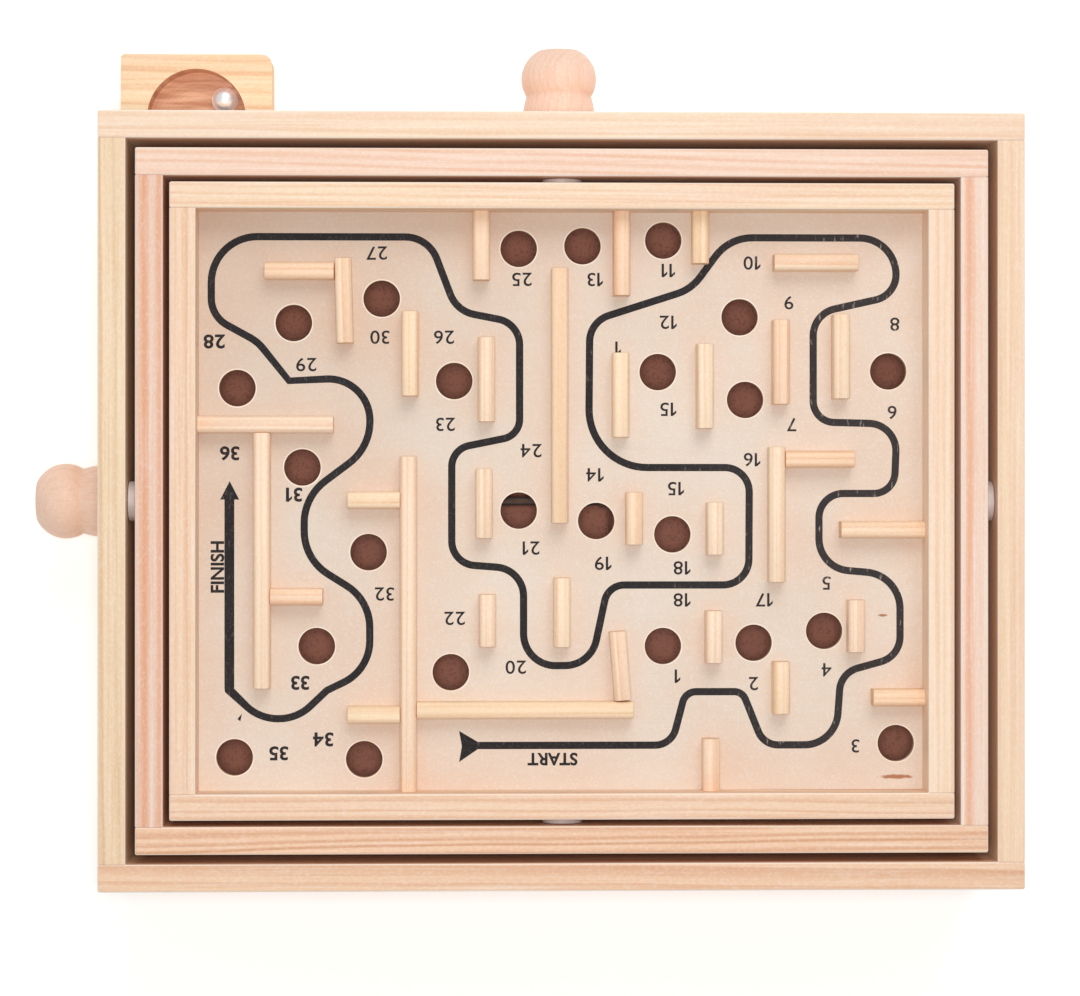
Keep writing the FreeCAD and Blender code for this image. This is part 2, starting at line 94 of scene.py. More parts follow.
def paint(red: int, green: int, blue: int) -> Colour:
    """Linear colour for a colour on the usual 0 to 255 scale."""
    return linear(red), linear(green), linear(blue)


BRIGHT_FIBRE = (1.0, 0.96, 0.90)
BRIGHT_SPECK = (1.0, 0.97, 0.92)
BRIGHT_VENEER = (1.0, 0.98, 0.95)
SAWN_END = (0.80, 0.68, 0.56)
# Pale colour of the painted highlight on rounded edges.
EDGE_HIGHLIGHT = (1.0, 0.93, 0.84)
YELLOWED = (1.0, 0.96, 0.84)


class Grain(Enum):
    """Which way the grain of a board runs, or that the piece carries its own."""

    ALONG_X = "x"
    ALONG_Y = "y"
    OWN = "own"


class Blend(Enum):
    """How two colours are put together."""

    MIX = "MIX"
    MULTIPLY = "MULTIPLY"


class Graph:
    """Node tree of one material, with short ways to add its nodes."""

    def __init__(self, name: str) -> None:
        """Starts a material that has a shader and its output.

        Args:
            name: The material's name.
        """
        self.material = bpy.data.materials.new(name)
        self.material.use_nodes = True
        self.nodes = self.material.node_tree.nodes
        self.links = self.material.node_tree.links
        self.nodes.clear()
        self.shader = self.nodes.new("ShaderNodeBsdfPrincipled")
        output = self.nodes.new("ShaderNodeOutputMaterial")
        self.links.new(self.shader.outputs[0], output.inputs["Surface"])

    def feed(self, socket: Socket, value: Value) -> None:
        """Gives an input a link, a number or a colour.

        Args:
            socket: The input.
            value: What it gets.
        """
        if isinstance(value, bpy.types.NodeSocket):
            self.links.new(value, socket)
        elif socket.type == "RGBA" and not isinstance(value, float):
            socket.default_value = (*value[:3], 1.0)
        else:
            socket.default_value = value

    def add(self, kind: str, inputs: dict[str | int, Value], **settings: object) -> bpy.types.Node:
        """Adds a node.

        Args:
            kind: Blender's name of the node.
            inputs: What each input gets.
            settings: The node's own options.

        Returns:
            The node.
        """
        node = self.nodes.new(kind)
        for name, setting in settings.items():
            setattr(node, name, setting)
        for key, value in inputs.items():
            self.feed(node.inputs[key], value)
        return node

    def set(self, **values: Value) -> None:
        """Sets the shader's sockets; a name's underscores stand for spaces."""
        for name, value in values.items():
            self.feed(self.shader.inputs[name.replace("_", " ")], value)

    def math(self, operation: str, a: Value, b: Value = 0.0, c: Value = 0.0) -> Socket:
        """Result of a sum on numbers."""
        return self.add("ShaderNodeMath", {0: a, 1: b, 2: c}, operation=operation).outputs[0]

    def times(self, a: Value, b: Value) -> Socket:
        """Product of two numbers."""
        return self.math("MULTIPLY", a, b)

    def scaled(self, a: Value, factor: Value, plus: Value) -> Socket:
        """Number times a factor, plus another number."""
        return self.math("MULTIPLY_ADD", a, factor, plus)

    def less(self, a: Value, b: Value) -> Socket:
        """Number less another."""
        return self.math("SUBTRACT", a, b)

    def place(self) -> Socket:
        """Place on the object."""
        return self.add("ShaderNodeTexCoord", {}).outputs["Object"]

    def facing(self) -> tuple[Socket, ...]:
        """The three parts of the surface's direction."""
        return self.split(self.add("ShaderNodeTexCoord", {}).outputs["Normal"])

    def attribute(self, name: str, output: str = "Vector") -> Socket:
        """Value that the mesh carries."""
        return self.add("ShaderNodeAttribute", {}, attribute_name=name).outputs[output]

    def split(self, vector: Value) -> tuple[Socket, ...]:
        """The three parts of a vector."""
        return tuple(self.add("ShaderNodeSeparateXYZ", {0: vector}).outputs)

    def join(self, x: Value, y: Value, z: Value) -> Socket:
        """Vector of three parts."""
        return self.add("ShaderNodeCombineXYZ", {0: x, 1: y, 2: z}).outputs[0]

    def length(self, vector: Value) -> Socket:
        """Length of a vector."""
        return self.add("ShaderNodeVectorMath", {0: vector}, operation="LENGTH").outputs["Value"]

    def noise(self, vector: Value, scale: float, detail: float = 2.0, seed: float = 0.0) -> Socket:
        """Cloudy pattern from 0 to 1.

        Args:
            vector: Where it is read.
            scale: Clouds in one unit of the vector.
            detail: How much finer structure it has.
            seed: Which pattern it is.

        Returns:
            The pattern's value.
        """
        return self.add("ShaderNodeTexNoise",
                        {"Vector": vector, "Scale": scale, "Detail": detail, "W": seed},
                        noise_dimensions="4D").outputs[0]

    def chance(self, number: Value) -> Socket:
        """Random value from 0 to 1 that belongs to a number."""
        return self.add("ShaderNodeTexWhiteNoise", {"W": number}, noise_dimensions="1D").outputs["Value"]

    def ramp(self, value: Value, *stops: tuple[float, float]) -> Socket:
        """Number that follows a value through stops.

        Args:
            value: What is looked up.
            stops: Pairs of the looked-up value and the number it gives.

        Returns:
            The number.
        """
        node = self.add("ShaderNodeValToRGB", {0: value})
        elements = node.color_ramp.elements
        while len(elements) < len(stops):
            elements.new(1.0)
        for element, (at, level) in zip(elements, stops):
            element.position = at
            element.color = (level, level, level, 1.0)
        return node.outputs[0]

    def mix(self, share: Value, a: Value, b: Value, blend: Blend = Blend.MIX) -> Socket:
        """Colour between two colours.

        Args:
            share: How much of the second colour there is.
            a: First colour.
            b: Second colour.
            blend: How the second is put on the first.

        Returns:
            The colour.
        """
        return self.add("ShaderNodeMix", {0: share, 6: a, 7: b},
                        data_type="RGBA", blend_type=blend.value).outputs[2]

    def tint(self, colour: Value, other: Value, value: Value, *stops: tuple[float, float]) -> Socket:
        """Colour with some of another, whose share follows a value through stops."""
        return self.mix(self.ramp(value, *stops), colour, other)

    def relief(self, height: Value, strength: float, depth: float) -> None:
        """Gives the shader a fine relief, `depth` metres deep."""
        bump = self.add("ShaderNodeBump", {"Height": height, "Strength": strength, "Distance": depth})
        self.set(Normal=bump.outputs[0])


@dataclass(frozen=True)
class SolidWood:
    """Planed or turned wood with growth rings round a pith line that lies off the board."""

    name: str
    grain: Grain = Grain.ALONG_X
    pale: Colour = paint(246, 222, 194)
    dark: Colour = paint(214, 160, 118)
    blush: Colour = paint(243, 208, 186)
    pith: tuple[float, float] = (0.03, 0.0)
    slope: tuple[float, float] = (0.0, 0.0)
    ring: float = 2.6 * MM
    contrast: float = 0.45
    blushing: float = 0.5
    wander: float = 1.6 * MM
    seed: float = 0.0
    soft: bool = False
    streaks: float = 1.0

    def material(self) -> bpy.types.Material:
        """Makes the finish.

        Returns:
            The finish.
        """
        graph = Graph(self.name)
        graph.set(Base_Color=self.colour(graph))
        return graph.material

    def colour(self, graph: Graph) -> Socket:
        """Works out the wood's colour, and sets its roughness and relief.

        Args:
            graph: The material's node tree.

        Returns:
            The colour.
        """
        own = self.grain is Grain.OWN
        x, y, z = graph.split(graph.attribute("grain") if own else graph.place())
        place = (y, x, z) if self.grain is Grain.ALONG_Y else (x, y, z)
        late, ring_number = self.rings(graph, place)
        fibre = self.drawn_out(graph, place, 16.0, 1000.0, 4.0, 0)
        cloud = self.drawn_out(graph, place, 9.0, 70.0, 2.0, 5)
        speck = self.drawn_out(graph, place, 900.0, 1700.0, 2.0, 7)
        dash = self.drawn_out(graph, place, 75.0, 1300.0, 1.0, 9)
        colour = graph.tint(self.pale, self.blush, cloud, (0.36, 0.0), (0.62, self.blushing))
        strength = graph.scaled(graph.chance(ring_number), 0.55, 0.45)
        colour = graph.mix(graph.times(graph.times(late, strength), self.contrast), colour, self.dark)
        colour = graph.tint(colour, self.dark, fibre, (0.28, 0.40 * self.streaks), (0.47, 0.0))
        colour = graph.tint(colour, BRIGHT_FIBRE, fibre, (0.54, 0.0), (0.72, 0.35 * self.streaks))
        colour = graph.tint(colour, self.dark, speck, (0.36, 0.10), (0.50, 0.0))
        colour = graph.tint(colour, BRIGHT_SPECK, speck, (0.52, 0.0), (0.68, 0.16))
        colour = graph.tint(colour, self.dark, dash, (0.70, 0.0), (0.80, 0.30))
        colour = graph.mix(self.end_share(graph), colour, SAWN_END, Blend.MULTIPLY)
        if own:
            tone = graph.attribute("tone", "Fac")
            pink = graph.ramp(tone, (0.0, 0.0), (0.6, 0.0), (1.0, 0.55))
            yellow = graph.ramp(tone, (0.0, 0.9), (0.4, 0.0))
            colour = graph.mix(pink, colour, self.blush, Blend.MULTIPLY)
            colour = graph.mix(yellow, colour, YELLOWED, Blend.MULTIPLY)
        else:
            # Painted highlight: rounded edges are lightened, standing in for light caught by the eased edges.
            colour = graph.mix(self.edge_highlight_share(graph), colour, EDGE_HIGHLIGHT)
        graph.set(Roughness=graph.scaled(fibre, 0.16, 0.46))
        graph.relief(graph.scaled(late, 0.35, graph.times(fibre, 0.8)), 0.30, 0.10 * MM)
        return colour

    def drawn_out(self, graph: Graph, place: Place, slow: float, fast: float, detail: float,
                  number: int) -> Socket:
        """Cloudy pattern that is drawn out along the grain.

        Args:
            graph: The material's node tree.
            place: Place along the grain, level across it, and upright across it.
            slow: Clouds in a metre along the grain.
            fast: Clouds in a metre across the grain.
            detail: How much finer structure it has.
            number: Which of the wood's patterns it is.

        Returns:
            The pattern's value.
        """
        along, side, up = place
        stretched = graph.join(graph.times(along, slow), graph.times(side, fast), graph.times(up, fast))
        return graph.noise(stretched, 1.0, detail, self.seed + number)

    def rings(self, graph: Graph, place: Place) -> tuple[Socket, Socket]:
        """Works out the growth rings.

        Args:
            graph: The material's node tree.
            place: Place along the grain, level across it, and upright across it.

        Returns:
            Share of late wood, and the ring's number.
        """
        along, *across = place
        sway = self.drawn_out(graph, place, 7.0, 26.0, 2.0, 2)
        from_pith = [graph.less(graph.scaled(along, slope, part), middle)
                     for slope, part, middle in zip(self.slope, across, self.pith)]
        radius = graph.length(graph.join(0.0, *from_pith))
        radius = graph.scaled(graph.less(sway, 0.5), 2 * self.wander, radius)
        turns = graph.math("DIVIDE", radius, self.ring)
        uneven = graph.noise(graph.join(graph.times(turns, 0.45), self.seed, 0.0), 1.0, 1.0)
        turns = graph.scaled(uneven, 2.2, turns)
        shares = (((0.0, 0.0), (0.30, 0.15), (0.62, 1.0), (0.80, 0.8), (1.0, 0.0)) if self.soft else
                  ((0.0, 0.05), (0.45, 0.10), (0.78, 0.85), (0.90, 1.0), (1.0, 0.05)))
        return graph.ramp(graph.math("FRACT", turns), *shares), graph.math("FLOOR", turns)

    def edge_highlight_share(self, graph: Graph) -> Socket:
        """Finds the rounded edges, which get a painted highlight.

        Args:
            graph: The material's node tree.

        Returns:
            From 0 on a flat face to 0.8 on an edge.
        """
        x, y, z = (graph.math("ABSOLUTE", part) for part in graph.facing())
        flattest = graph.math("MAXIMUM", graph.math("MAXIMUM", x, y), z)
        return graph.ramp(flattest, (0.74, 0.8), (0.98, 0.0))

    def end_share(self, graph: Graph) -> Socket:
        """Finds the ends of the grain.

        Args:
            graph: The material's node tree.

        Returns:
            From 0 on a side to its most on a sawn end.
        """
        if self.grain is Grain.OWN:
            return graph.attribute("end", "Fac")
        facing = graph.facing()[1 if self.grain is Grain.ALONG_Y else 0]
        return graph.ramp(graph.math("ABSOLUTE", facing), (0.55, 0.0), (0.85, 0.75))


@dataclass(frozen=True)
class MilledPine(SolidWood):
    """Pine block whose round pocket shows the cutter's rings and a darker surface: ragged end grain, with
    painted shade for the hollow.
    """

    middle: tuple[float, float] = (0.0, 0.0)
    radius: float = 17 * MM
    top: float = 15 * MM
    ring_pitch: float = 1.4 * MM
    milled: Colour = paint(252, 196, 160)
    torn_and_shaded: Colour = paint(206, 132, 96)
    groove: Colour = paint(140, 84, 58)

    def colour(self, graph: Graph) -> Socket:
        """Works out the wood's colour, with the pocket's own.

        Args:
            graph: The material's node tree.

        Returns:
            The colour.
        """
        colour = super().colour(graph)
        x, y, z = graph.split(graph.place())
        away = graph.length(graph.join(graph.less(x, self.middle[0]), graph.less(y, self.middle[1]), 0.0))
        inside = graph.math("LESS_THAN", away, self.radius + 0.1 * MM)
        below = graph.math("LESS_THAN", z, self.top - 0.3 * MM)
        cut = graph.math("SINE", graph.times(away, 2 * math.pi / self.ring_pitch))
        tear = graph.noise(graph.join(graph.times(x, 60.0), graph.times(y, 700.0), z), 1.0, 3.0, 3.0)
        # The pocket's darker, more orange colour is partly ragged end grain and partly painted shade for the
        # hollow below the box's top.
        pocket = graph.tint(self.milled, self.torn_and_shaded, tear, (0.36, 0.0), (0.62, 1.0))
        pocket = graph.mix(graph.scaled(cut, 0.05, 0.05), pocket, self.groove)
        return graph.mix(graph.times(graph.times(inside, below), 0.8), colour, pocket)


@dataclass(frozen=True)
class Hardboard:
    """Brown pressed board with dark and light flecks."""

    name: str = "hardboard"
    body: Colour = paint(196, 122, 98)
    fleck: Colour = paint(164, 94, 72)
    pale: Colour = paint(212, 142, 114)

    def material(self) -> bpy.types.Material:
        """Makes the finish.

        Returns:
            The finish.
        """
        graph = Graph(self.name)
        place = graph.place()
        cloud = graph.noise(place, 90.0, 3.0)
        fleck = graph.noise(place, 900.0, 2.0, 4.0)
        thread = graph.noise(place, 2400.0, 2.0, 7.0)
        colour = graph.tint(self.body, self.pale, cloud, (0.35, 0.0), (0.65, 0.6))
        colour = graph.tint(colour, self.fleck, fleck, (0.52, 0.0), (0.64, 0.6))
        colour = graph.tint(colour, self.pale, thread, (0.60, 0.0), (0.72, 0.4))
        graph.set(Base_Color=colour, Roughness=graph.scaled(cloud, 0.2, 0.5))
        graph.relief(thread, 0.3, 0.08 * MM)
        return graph.material


@dataclass(frozen=True)
class BoardPlywood:
    """Sanded plywood with a pale face veneer, three plies at its edges, two brown marks and painted shade
    towards one corner.
    """

    name: str = "board_plywood"
    face: Colour = paint(231, 216, 202)
    warm: Colour = paint(229, 201, 180)
    streak: Colour = paint(222, 190, 160)
    edge: Colour = paint(214, 172, 138)
    # Multiplier of the painted shade towards one corner of the board.
    shade: Colour = (0.80, 0.74, 0.69)
    mark: Colour = paint(170, 104, 56)
    bottom: float = 68 * MM
    thickness: float = 3 * MM
    marks: tuple[tuple[Pair, Pair], ...] = (((-105.5, 37.5), (1.6, 0.40)), ((-110.0, 90.5), (5.4, 0.7)))

    def material(self) -> bpy.types.Material:
        """Makes the finish.

        Returns:
            The finish.
        """
        graph = Graph(self.name)
        x, y, z = graph.split(graph.place())

        def drawn_out(slow: float, fast: float, seed: float, detail: float = 2.0) -> Socket:
            """Pattern that runs along X."""
            place = graph.join(graph.times(x, slow), graph.times(y, fast), 0.0)
            return graph.noise(place, 1.0, detail, seed)

        cloud = graph.noise(graph.place(), 26.0, 4.0, 1.0)
        speckle = graph.noise(graph.place(), 1500.0, 2.0, 2.0)
        fibre = drawn_out(160.0, 1900.0, 3.0, 3.0)
        figure = graph.math("PINGPONG", graph.times(drawn_out(5.0, 60.0, 6.0), 9.0), 0.5)
        colour = graph.tint(self.face, self.warm, cloud, (0.36, 0.0), (0.66, 0.75))
        colour = graph.tint(colour, self.streak, figure, (0.34, 0.0), (0.5, 0.08))
        colour = graph.tint(colour, self.streak, fibre, (0.30, 0.16), (0.46, 0.0))
        colour = graph.tint(colour, BRIGHT_VENEER, speckle, (0.50, 0.0), (0.70, 0.22))
        # Painted shade: the board darkens towards the corner at +X and -Y, standing in for the front rail's
        # shadow and the fall of the light.
        corner = graph.less(x, graph.times(y, 1.1))
        painted_shade = graph.ramp(graph.times(corner, 4.0), (0.0, 0.0), (0.85, 0.75))
        colour = graph.mix(painted_shade, colour, self.shade, Blend.MULTIPLY)
        for middle, half in self.marks:
            colour = self.marked(graph, colour, (x, y), middle, half)
        layer = graph.math("DIVIDE", graph.less(z, self.bottom), self.thickness)
        ply = graph.ramp(layer, (0.0, 0.15), (0.30, 0.15), (0.34, 1.0), (0.66, 1.0), (0.70, 0.2))
        ply = graph.scaled(fibre, 0.3, ply)
        sides = graph.ramp(graph.math("ABSOLUTE", graph.facing()[2]), (0.45, 0.9), (0.75, 0.0))
        colour = graph.mix(graph.times(sides, ply), colour, self.edge)
        graph.set(Base_Color=colour, Roughness=graph.scaled(speckle, 0.15, 0.5))
        graph.relief(graph.scaled(fibre, 0.7, graph.times(speckle, 0.5)), 0.25, 0.06 * MM)
        return graph.material

    def marked(self, graph: Graph, colour: Socket, place: tuple[Socket, Socket], middle: Pair,
               half: Pair) -> Socket:
        """Puts a long brown fleck in the veneer.

        Args:
            graph: The material's node tree.
            colour: Colour so far.
            place: Place along X and Y.
            middle: The fleck's middle in millimetres.
            half: Half its length and half its width in millimetres.

        Returns:
            The colour with the fleck.
        """
        away = [graph.math("DIVIDE", graph.less(part, centre * MM), reach * MM)
                for part, centre, reach in zip(place, middle, half)]
        ragged = graph.noise(graph.place(), 700.0, 2.0, 8.0)
        distance = graph.scaled(ragged, 1.1, graph.length(graph.join(*away, 0.0)))
        return graph.tint(colour, self.mark, graph.times(distance, 0.5), (0.62, 0.9), (0.88, 0.0))


@dataclass(frozen=True)
class PlainFinish:
    """Smooth material with a faint cloud in its colour and a fine relief."""

    name: str
    body: Colour
    other: Colour
    roughness: float
    metallic: float = 0.0
    grain_scale: float = 900.0
    relief_depth: float = 0.02 * MM
    sheen: float = 0.0
    subsurface: float = 0.0
    glow: float = 0.0

    def material(self) -> bpy.types.Material:
        """Makes the finish.

        Returns:
            The finish.
        """
        graph = Graph(self.name)
        place = graph.place()
        cloud = graph.noise(place, self.grain_scale / 6, 2.0)
        fine = graph.noise(place, self.grain_scale, 3.0, 4.0)
        colour = graph.tint(self.body, self.other, cloud, (0.35, 0.0), (0.65, 1.0))
        graph.set(Base_Color=colour, Metallic=self.metallic, Sheen_Weight=self.sheen,
                  Subsurface_Weight=self.subsurface, Subsurface_Scale=1.0 * MM,
                  Emission_Color=self.body, Emission_Strength=self.glow,
                  Roughness=graph.scaled(fine, 0.12, self.roughness - 0.06))
        graph.relief(fine, 0.3, self.relief_depth)
        return graph.material


@dataclass(frozen=True)
class Ink:
    """Dark printing ink, a little worn and scratched."""

    name: str = "ink"
    body: Colour = paint(24, 21, 26)
    worn: Colour = paint(78, 72, 71)
    bared: Colour = paint(214, 200, 184)
    faded_side: float = -30 * MM
    fade_length: float = 60 * MM
    gloss: float = 0.25

    def material(self) -> bpy.types.Material:
        """Makes the finish.

        Returns:
            The finish.
        """
        graph = Graph(self.name)
        place = graph.place()
        x, y, _ = graph.split(place)
        cloud = graph.noise(place, 120.0, 3.0)
        speck = graph.noise(place, 1300.0, 3.0, 3.0)
        scratch = graph.noise(graph.join(graph.times(x, 900.0), graph.times(y, 260.0), 0.0), 1.0, 2.0, 6.0)
        rubbed = graph.ramp(graph.math("DIVIDE", graph.less(self.faded_side, x), self.fade_length),
                            (0.0, 0.2), (1.0, 1.0))
        wear = graph.times(graph.ramp(scratch, (0.60, 0.0), (0.72, 0.5)), rubbed)
        colour = graph.tint(self.body, self.worn, cloud, (0.3, 0.0), (0.8, 0.25))
        colour = graph.mix(graph.times(rubbed, 0.35), colour, self.worn)
        colour = graph.tint(colour, self.worn, speck, (0.55, 0.0), (0.70, 0.6))
        colour = graph.mix(wear, colour, self.bared)
        graph.set(Base_Color=colour, Roughness=graph.scaled(cloud, 0.2, 0.6), Specular_IOR_Level=self.gloss)
        graph.relief(speck, 0.2, 0.02 * MM)
        return graph.material


NYLON = PlainFinish("nylon", paint(222, 212, 210), paint(206, 196, 194), 0.38, subsurface=0.25)
RUBBER = PlainFinish("black_rubber", paint(38, 36, 36), paint(52, 49, 48), 0.62)
DRAWN_STEEL = PlainFinish("drawn_steel", paint(206, 202, 196), paint(184, 180, 174), 0.42, metallic=0.85)
# Painted light: the ball's steel glows a little, so it looks brightly lit all over.
GLOWING_BALL_STEEL = PlainFinish("ball_steel", paint(252, 251, 250), paint(246, 245, 244), 0.33, metallic=1.0,
                         relief_depth=0.002 * MM, glow=0.2)
THREAD = PlainFinish("thread", paint(138, 92, 72), paint(166, 118, 92), 0.75, grain_scale=4000.0, sheen=0.3,
                     relief_depth=0.05 * MM)
FLOOR_PAPER = PlainFinish("floor_paper", (0.97, 0.97, 0.97), (0.96, 0.96, 0.96), 0.9, grain_scale=60.0,
                          glow=0.32)


def dress(node: str, material: bpy.types.Material) -> None:
    """Gives a CAD node its material.

    Args:
        node: The node's name.
        material: Its material.
    """
    slots = bpy.data.objects[node].data.materials
    slots.clear()
    slots.append(material)
    log.info("dressed %s", node)


def linked(name: str, data: bpy.types.ID) -> bpy.types.Object:
    """Adds an object to the scene.

    Args:
        name: Its name.
        data: What it holds.

    Returns:
        The object, at the origin.
    """
    added = bpy.data.objects.new(name, data)
    bpy.context.scene.collection.objects.link(added)
    return added


def finished_piece(name: str, shape: Shape, material: bpy.types.Material, body: str,
                   stands_for: Iterable[str] = (), smooth: float = 35.0) -> None:
    """Turns a shape into a piece that rides on a body.

    Args:
        name: The piece's name.
        shape: Its shape, in place, which is used up.
        material: Its material.
        body: The CAD body it moves with.
        stands_for: CAD nodes that it replaces.
        smooth: Edges sharper than this many degrees stay sharp.
    """
    mesh = bpy.data.meshes.new(name)
    shape.to_mesh(mesh)
    shape.free()
    mesh.materials.clear()
    mesh.materials.append(material)
    mesh.shade_smooth()
    mesh.set_sharp_from_angle(angle=math.radians(smooth))
    piece = linked(name, mesh)
    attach(piece, body)
    if stands_for:
        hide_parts(*stands_for)
    log.info("made %s with %d faces on %s", name, len(mesh.polygons), body)


def islands(node: bpy.types.Object) -> list[list[Vector]]:
    """Finds the separate solids of a CAD node.

    Args:
        node: The CAD node's object.

    Returns:
        The points of each solid.
    """
    shape = bmesh.new()
    shape.from_mesh(node.data)
    bmesh.ops.remove_doubles(shape, verts=shape.verts, dist=1e-6)
    left = set(shape.verts)
    found = []
    while left:
        front = [left.pop()]
        island = []
        while front:
            vert = front.pop()
            island.append(vert.co.copy())
            for edge in vert.link_edges:
                other = edge.other_vert(vert)
                if other in left:
                    left.remove(other)
                    front.append(other)
        found.append(island)
    shape.free()
    return sorted(found, key=lambda points: tuple(round(c, 5) for c in sum(points, Vector()) / len(points)))


def wire(points: Sequence[Vector], radius: float, closed: bool = False, sides: int = 2,
         swells: Sequence[float] | None = None) -> Shape:
    """Round wire along a line.

    Args:
        points: Where the wire's middle runs.
        radius: Its radius.
        closed: Whether its ends meet.
        sides: How fine its round is.
        swells: How much thicker it is at each point, or None where it is even.

    Returns:
        The wire's shape.
    """
    curve = bpy.data.curves.new("wire", "CURVE")
    curve.dimensions = "3D"
    curve.bevel_depth = radius
    curve.bevel_resolution = sides
    curve.use_fill_caps = not closed
    curve.twist_mode = "MINIMUM"
    spline = curve.splines.new("POLY")
    spline.points.add(len(points) - 1)
    for point, place in zip(spline.points, points):
        point.co = (*place, 1.0)
    for point, swell in zip(spline.points, swells or ()):
        point.radius = swell
    spline.use_cyclic_u = closed
    shape = shape_of(curve)
    bmesh.ops.remove_doubles(shape, verts=shape.verts, dist=1e-7)
    return shape


def shape_of(data: bpy.types.Curve) -> Shape:
    """Takes the shape that a curve or a text makes.

    Args:
        data: The curve or text, which is used up.

    Returns:
        The shape.
    """
    holder = linked("holder", data)
    graph = bpy.context.evaluated_depsgraph_get()
    mesh = bpy.data.meshes.new_from_object(holder.evaluated_get(graph))
    shape = bmesh.new()
    shape.from_mesh(mesh)
    bpy.data.meshes.remove(mesh)
    bpy.data.objects.remove(holder)
    bpy.data.curves.remove(data)
    return shape


def joined(shapes: Iterable[Shape], marked: bool = False) -> Shape:
    """Puts several shapes together.

    Args:
        shapes: The shapes, which are used up.
        marked: Whether they carry grain, tone and end.

    Returns:
        The whole, with its normals outward.
    """
    whole = bmesh.new()
    if marked:
        whole.verts.layers.float_vector.new("grain")
        whole.verts.layers.float.new("tone")
        whole.faces.layers.float.new("end")
    for shape in shapes:
        part = bpy.data.meshes.new("part")
        shape.to_mesh(part)
        shape.free()
        whole.from_mesh(part)
        bpy.data.meshes.remove(part)
    bmesh.ops.recalc_face_normals(whole, faces=whole.faces)
    return whole


def new_points(grown: dict[str, list]) -> list[bmesh.types.BMVert]:
    """Points that an extrusion made."""
    return [item for item in grown["geom"] if isinstance(item, bmesh.types.BMVert)]


def circle(middle: Vector, first: Vector, second: Vector, radius: float) -> list[Vector]:
    """Points of a circle.

    Args:
        middle: Its middle.
        first: Direction of its first point.
        second: Direction of the point a quarter turn on.
        radius: Its radius.

    Returns:
        The points, one every 15 degrees.
    """
    angles = [math.radians(15 * number) for number in range(24)]
    return [middle + (first * math.cos(angle) + second * math.sin(angle)) * radius for angle in angles]


def helix(start: Vector, axis: Vector, radius: float, pitch: float, turns: float,
          first: float = 0.0, steps: int = 16) -> list[Vector]:
    """Points of a helix.

    Args:
        start: Middle of its first turn.
        axis: Direction it winds along.
        radius: Radius of its turns.
        pitch: How far a turn moves along.
        turns: How many turns it has.
        first: Angle of its first point, in radians.
        steps: Points in a turn.

    Returns:
        The points.
    """
    side = axis.orthogonal().normalized()
    other = axis.cross(side).normalized()
    count = max(2, round(turns * steps))
    points = []
    for number in range(count + 1):
        turn = turns * number / count
        angle = first + 2 * math.pi * turn
        points.append(start + axis * (pitch * turn)
                      + (side * math.cos(angle) + other * math.sin(angle)) * radius)
    return points


@dataclass
class BoxCase:
    """The open box: four boards, pins, base, ramp and ramp strips."""

    boards: tuple[SolidWood, ...] = (
        SolidWood("pine_front_panel", Grain.ALONG_X, paint(248, 224, 198), paint(228, 172, 128),
                  pith=(-0.185, 0.05), slope=(0.006, 0.0), ring=4.0 * MM, contrast=0.42, seed=1.0),
        SolidWood("pine_back_panel", Grain.ALONG_X, paint(243, 206, 174), paint(208, 146, 104),
                  paint(242, 200, 170), pith=(0.18, 0.05), slope=(0.010, 0.0), ring=4.2 * MM,
                  contrast=0.55, wander=2.2 * MM, seed=2.0),
        SolidWood("pine_left_panel", Grain.ALONG_Y, paint(247, 220, 188), paint(224, 174, 128),
                  pith=(-0.21, 0.06), ring=4.4 * MM, contrast=0.42, seed=3.0),
        SolidWood("pine_right_panel", Grain.ALONG_Y, paint(243, 218, 184), paint(204, 158, 112),
                  paint(238, 208, 172), pith=(0.20, 0.06), slope=(0.006, 0.0), ring=3.9 * MM,
                  contrast=0.5, wander=1.8 * MM, seed=4.0),
    )
    batten: SolidWood = SolidWood("pine_batten", Grain.ALONG_X, seed=6.0)

    def build(self) -> None:
        """Dresses the box's nodes."""
        for board in self.boards:
            dress(board.name.removeprefix("pine_"), board.material())
        hardboard = Hardboard().material()
        dress("base_board", hardboard)
        dress("ramp_board", hardboard)
        dress("ramp_battens", self.batten.material())
        dress("corner_brads", DRAWN_STEEL.material())


@dataclass
class BallReturn:
    """The block with the pocket at the foot of the front board, and the steel ball in it."""

    rings: int = 64
    pocket_radius: float = 17 * MM
    outside: float = 6 * MM

    def build(self) -> None:
        """Dresses the block and makes the ball."""
        low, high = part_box("ball_tray")
        middle = ((low.x + high.x) / 2, high.y - self.outside)
        block = MilledPine("pine_ball_tray", Grain.ALONG_X, paint(250, 226, 186), paint(222, 160, 108),
                           paint(248, 208, 172), pith=(-0.17, -0.02), slope=(0.03, 0.0), ring=3.0 * MM,
                           contrast=0.5, seed=8.0, middle=middle, radius=self.pocket_radius, top=high.z)
        dress("ball_tray", block.material())
        low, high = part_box("ball")
        shape = bmesh.new()
        bmesh.ops.create_uvsphere(shape, u_segments=self.rings, v_segments=self.rings // 2,
                                  radius=(high.z - low.z) / 2)
        bmesh.ops.translate(shape, verts=shape.verts, vec=(low + high) / 2)
        finished_piece("steel_ball", shape, GLOWING_BALL_STEEL.material(), "ball", ["ball"], 80.0)


@dataclass
class TiltFrame:
    """Four rails of a tilting frame, and its pivot pins and nylon spacers."""

    name: str
    front: SolidWood
    back: SolidWood
    left: SolidWood
    right: SolidWood

    def build(self, nylon: bpy.types.Material, steel: bpy.types.Material) -> None:
        """Dresses the frame's nodes.

        Args:
            nylon: The spacers' material.
            steel: The material of the pins and the screw eyes.
        """
        for side in ("front", "back", "left", "right"):
            dress(f"{self.name}_{side}_rail", getattr(self, side).material())
        dress(f"{self.name}_spacers", nylon)
        dress(f"{self.name}_pivot_pins", steel)
        dress(f"{self.name}_screw_eyes", steel)


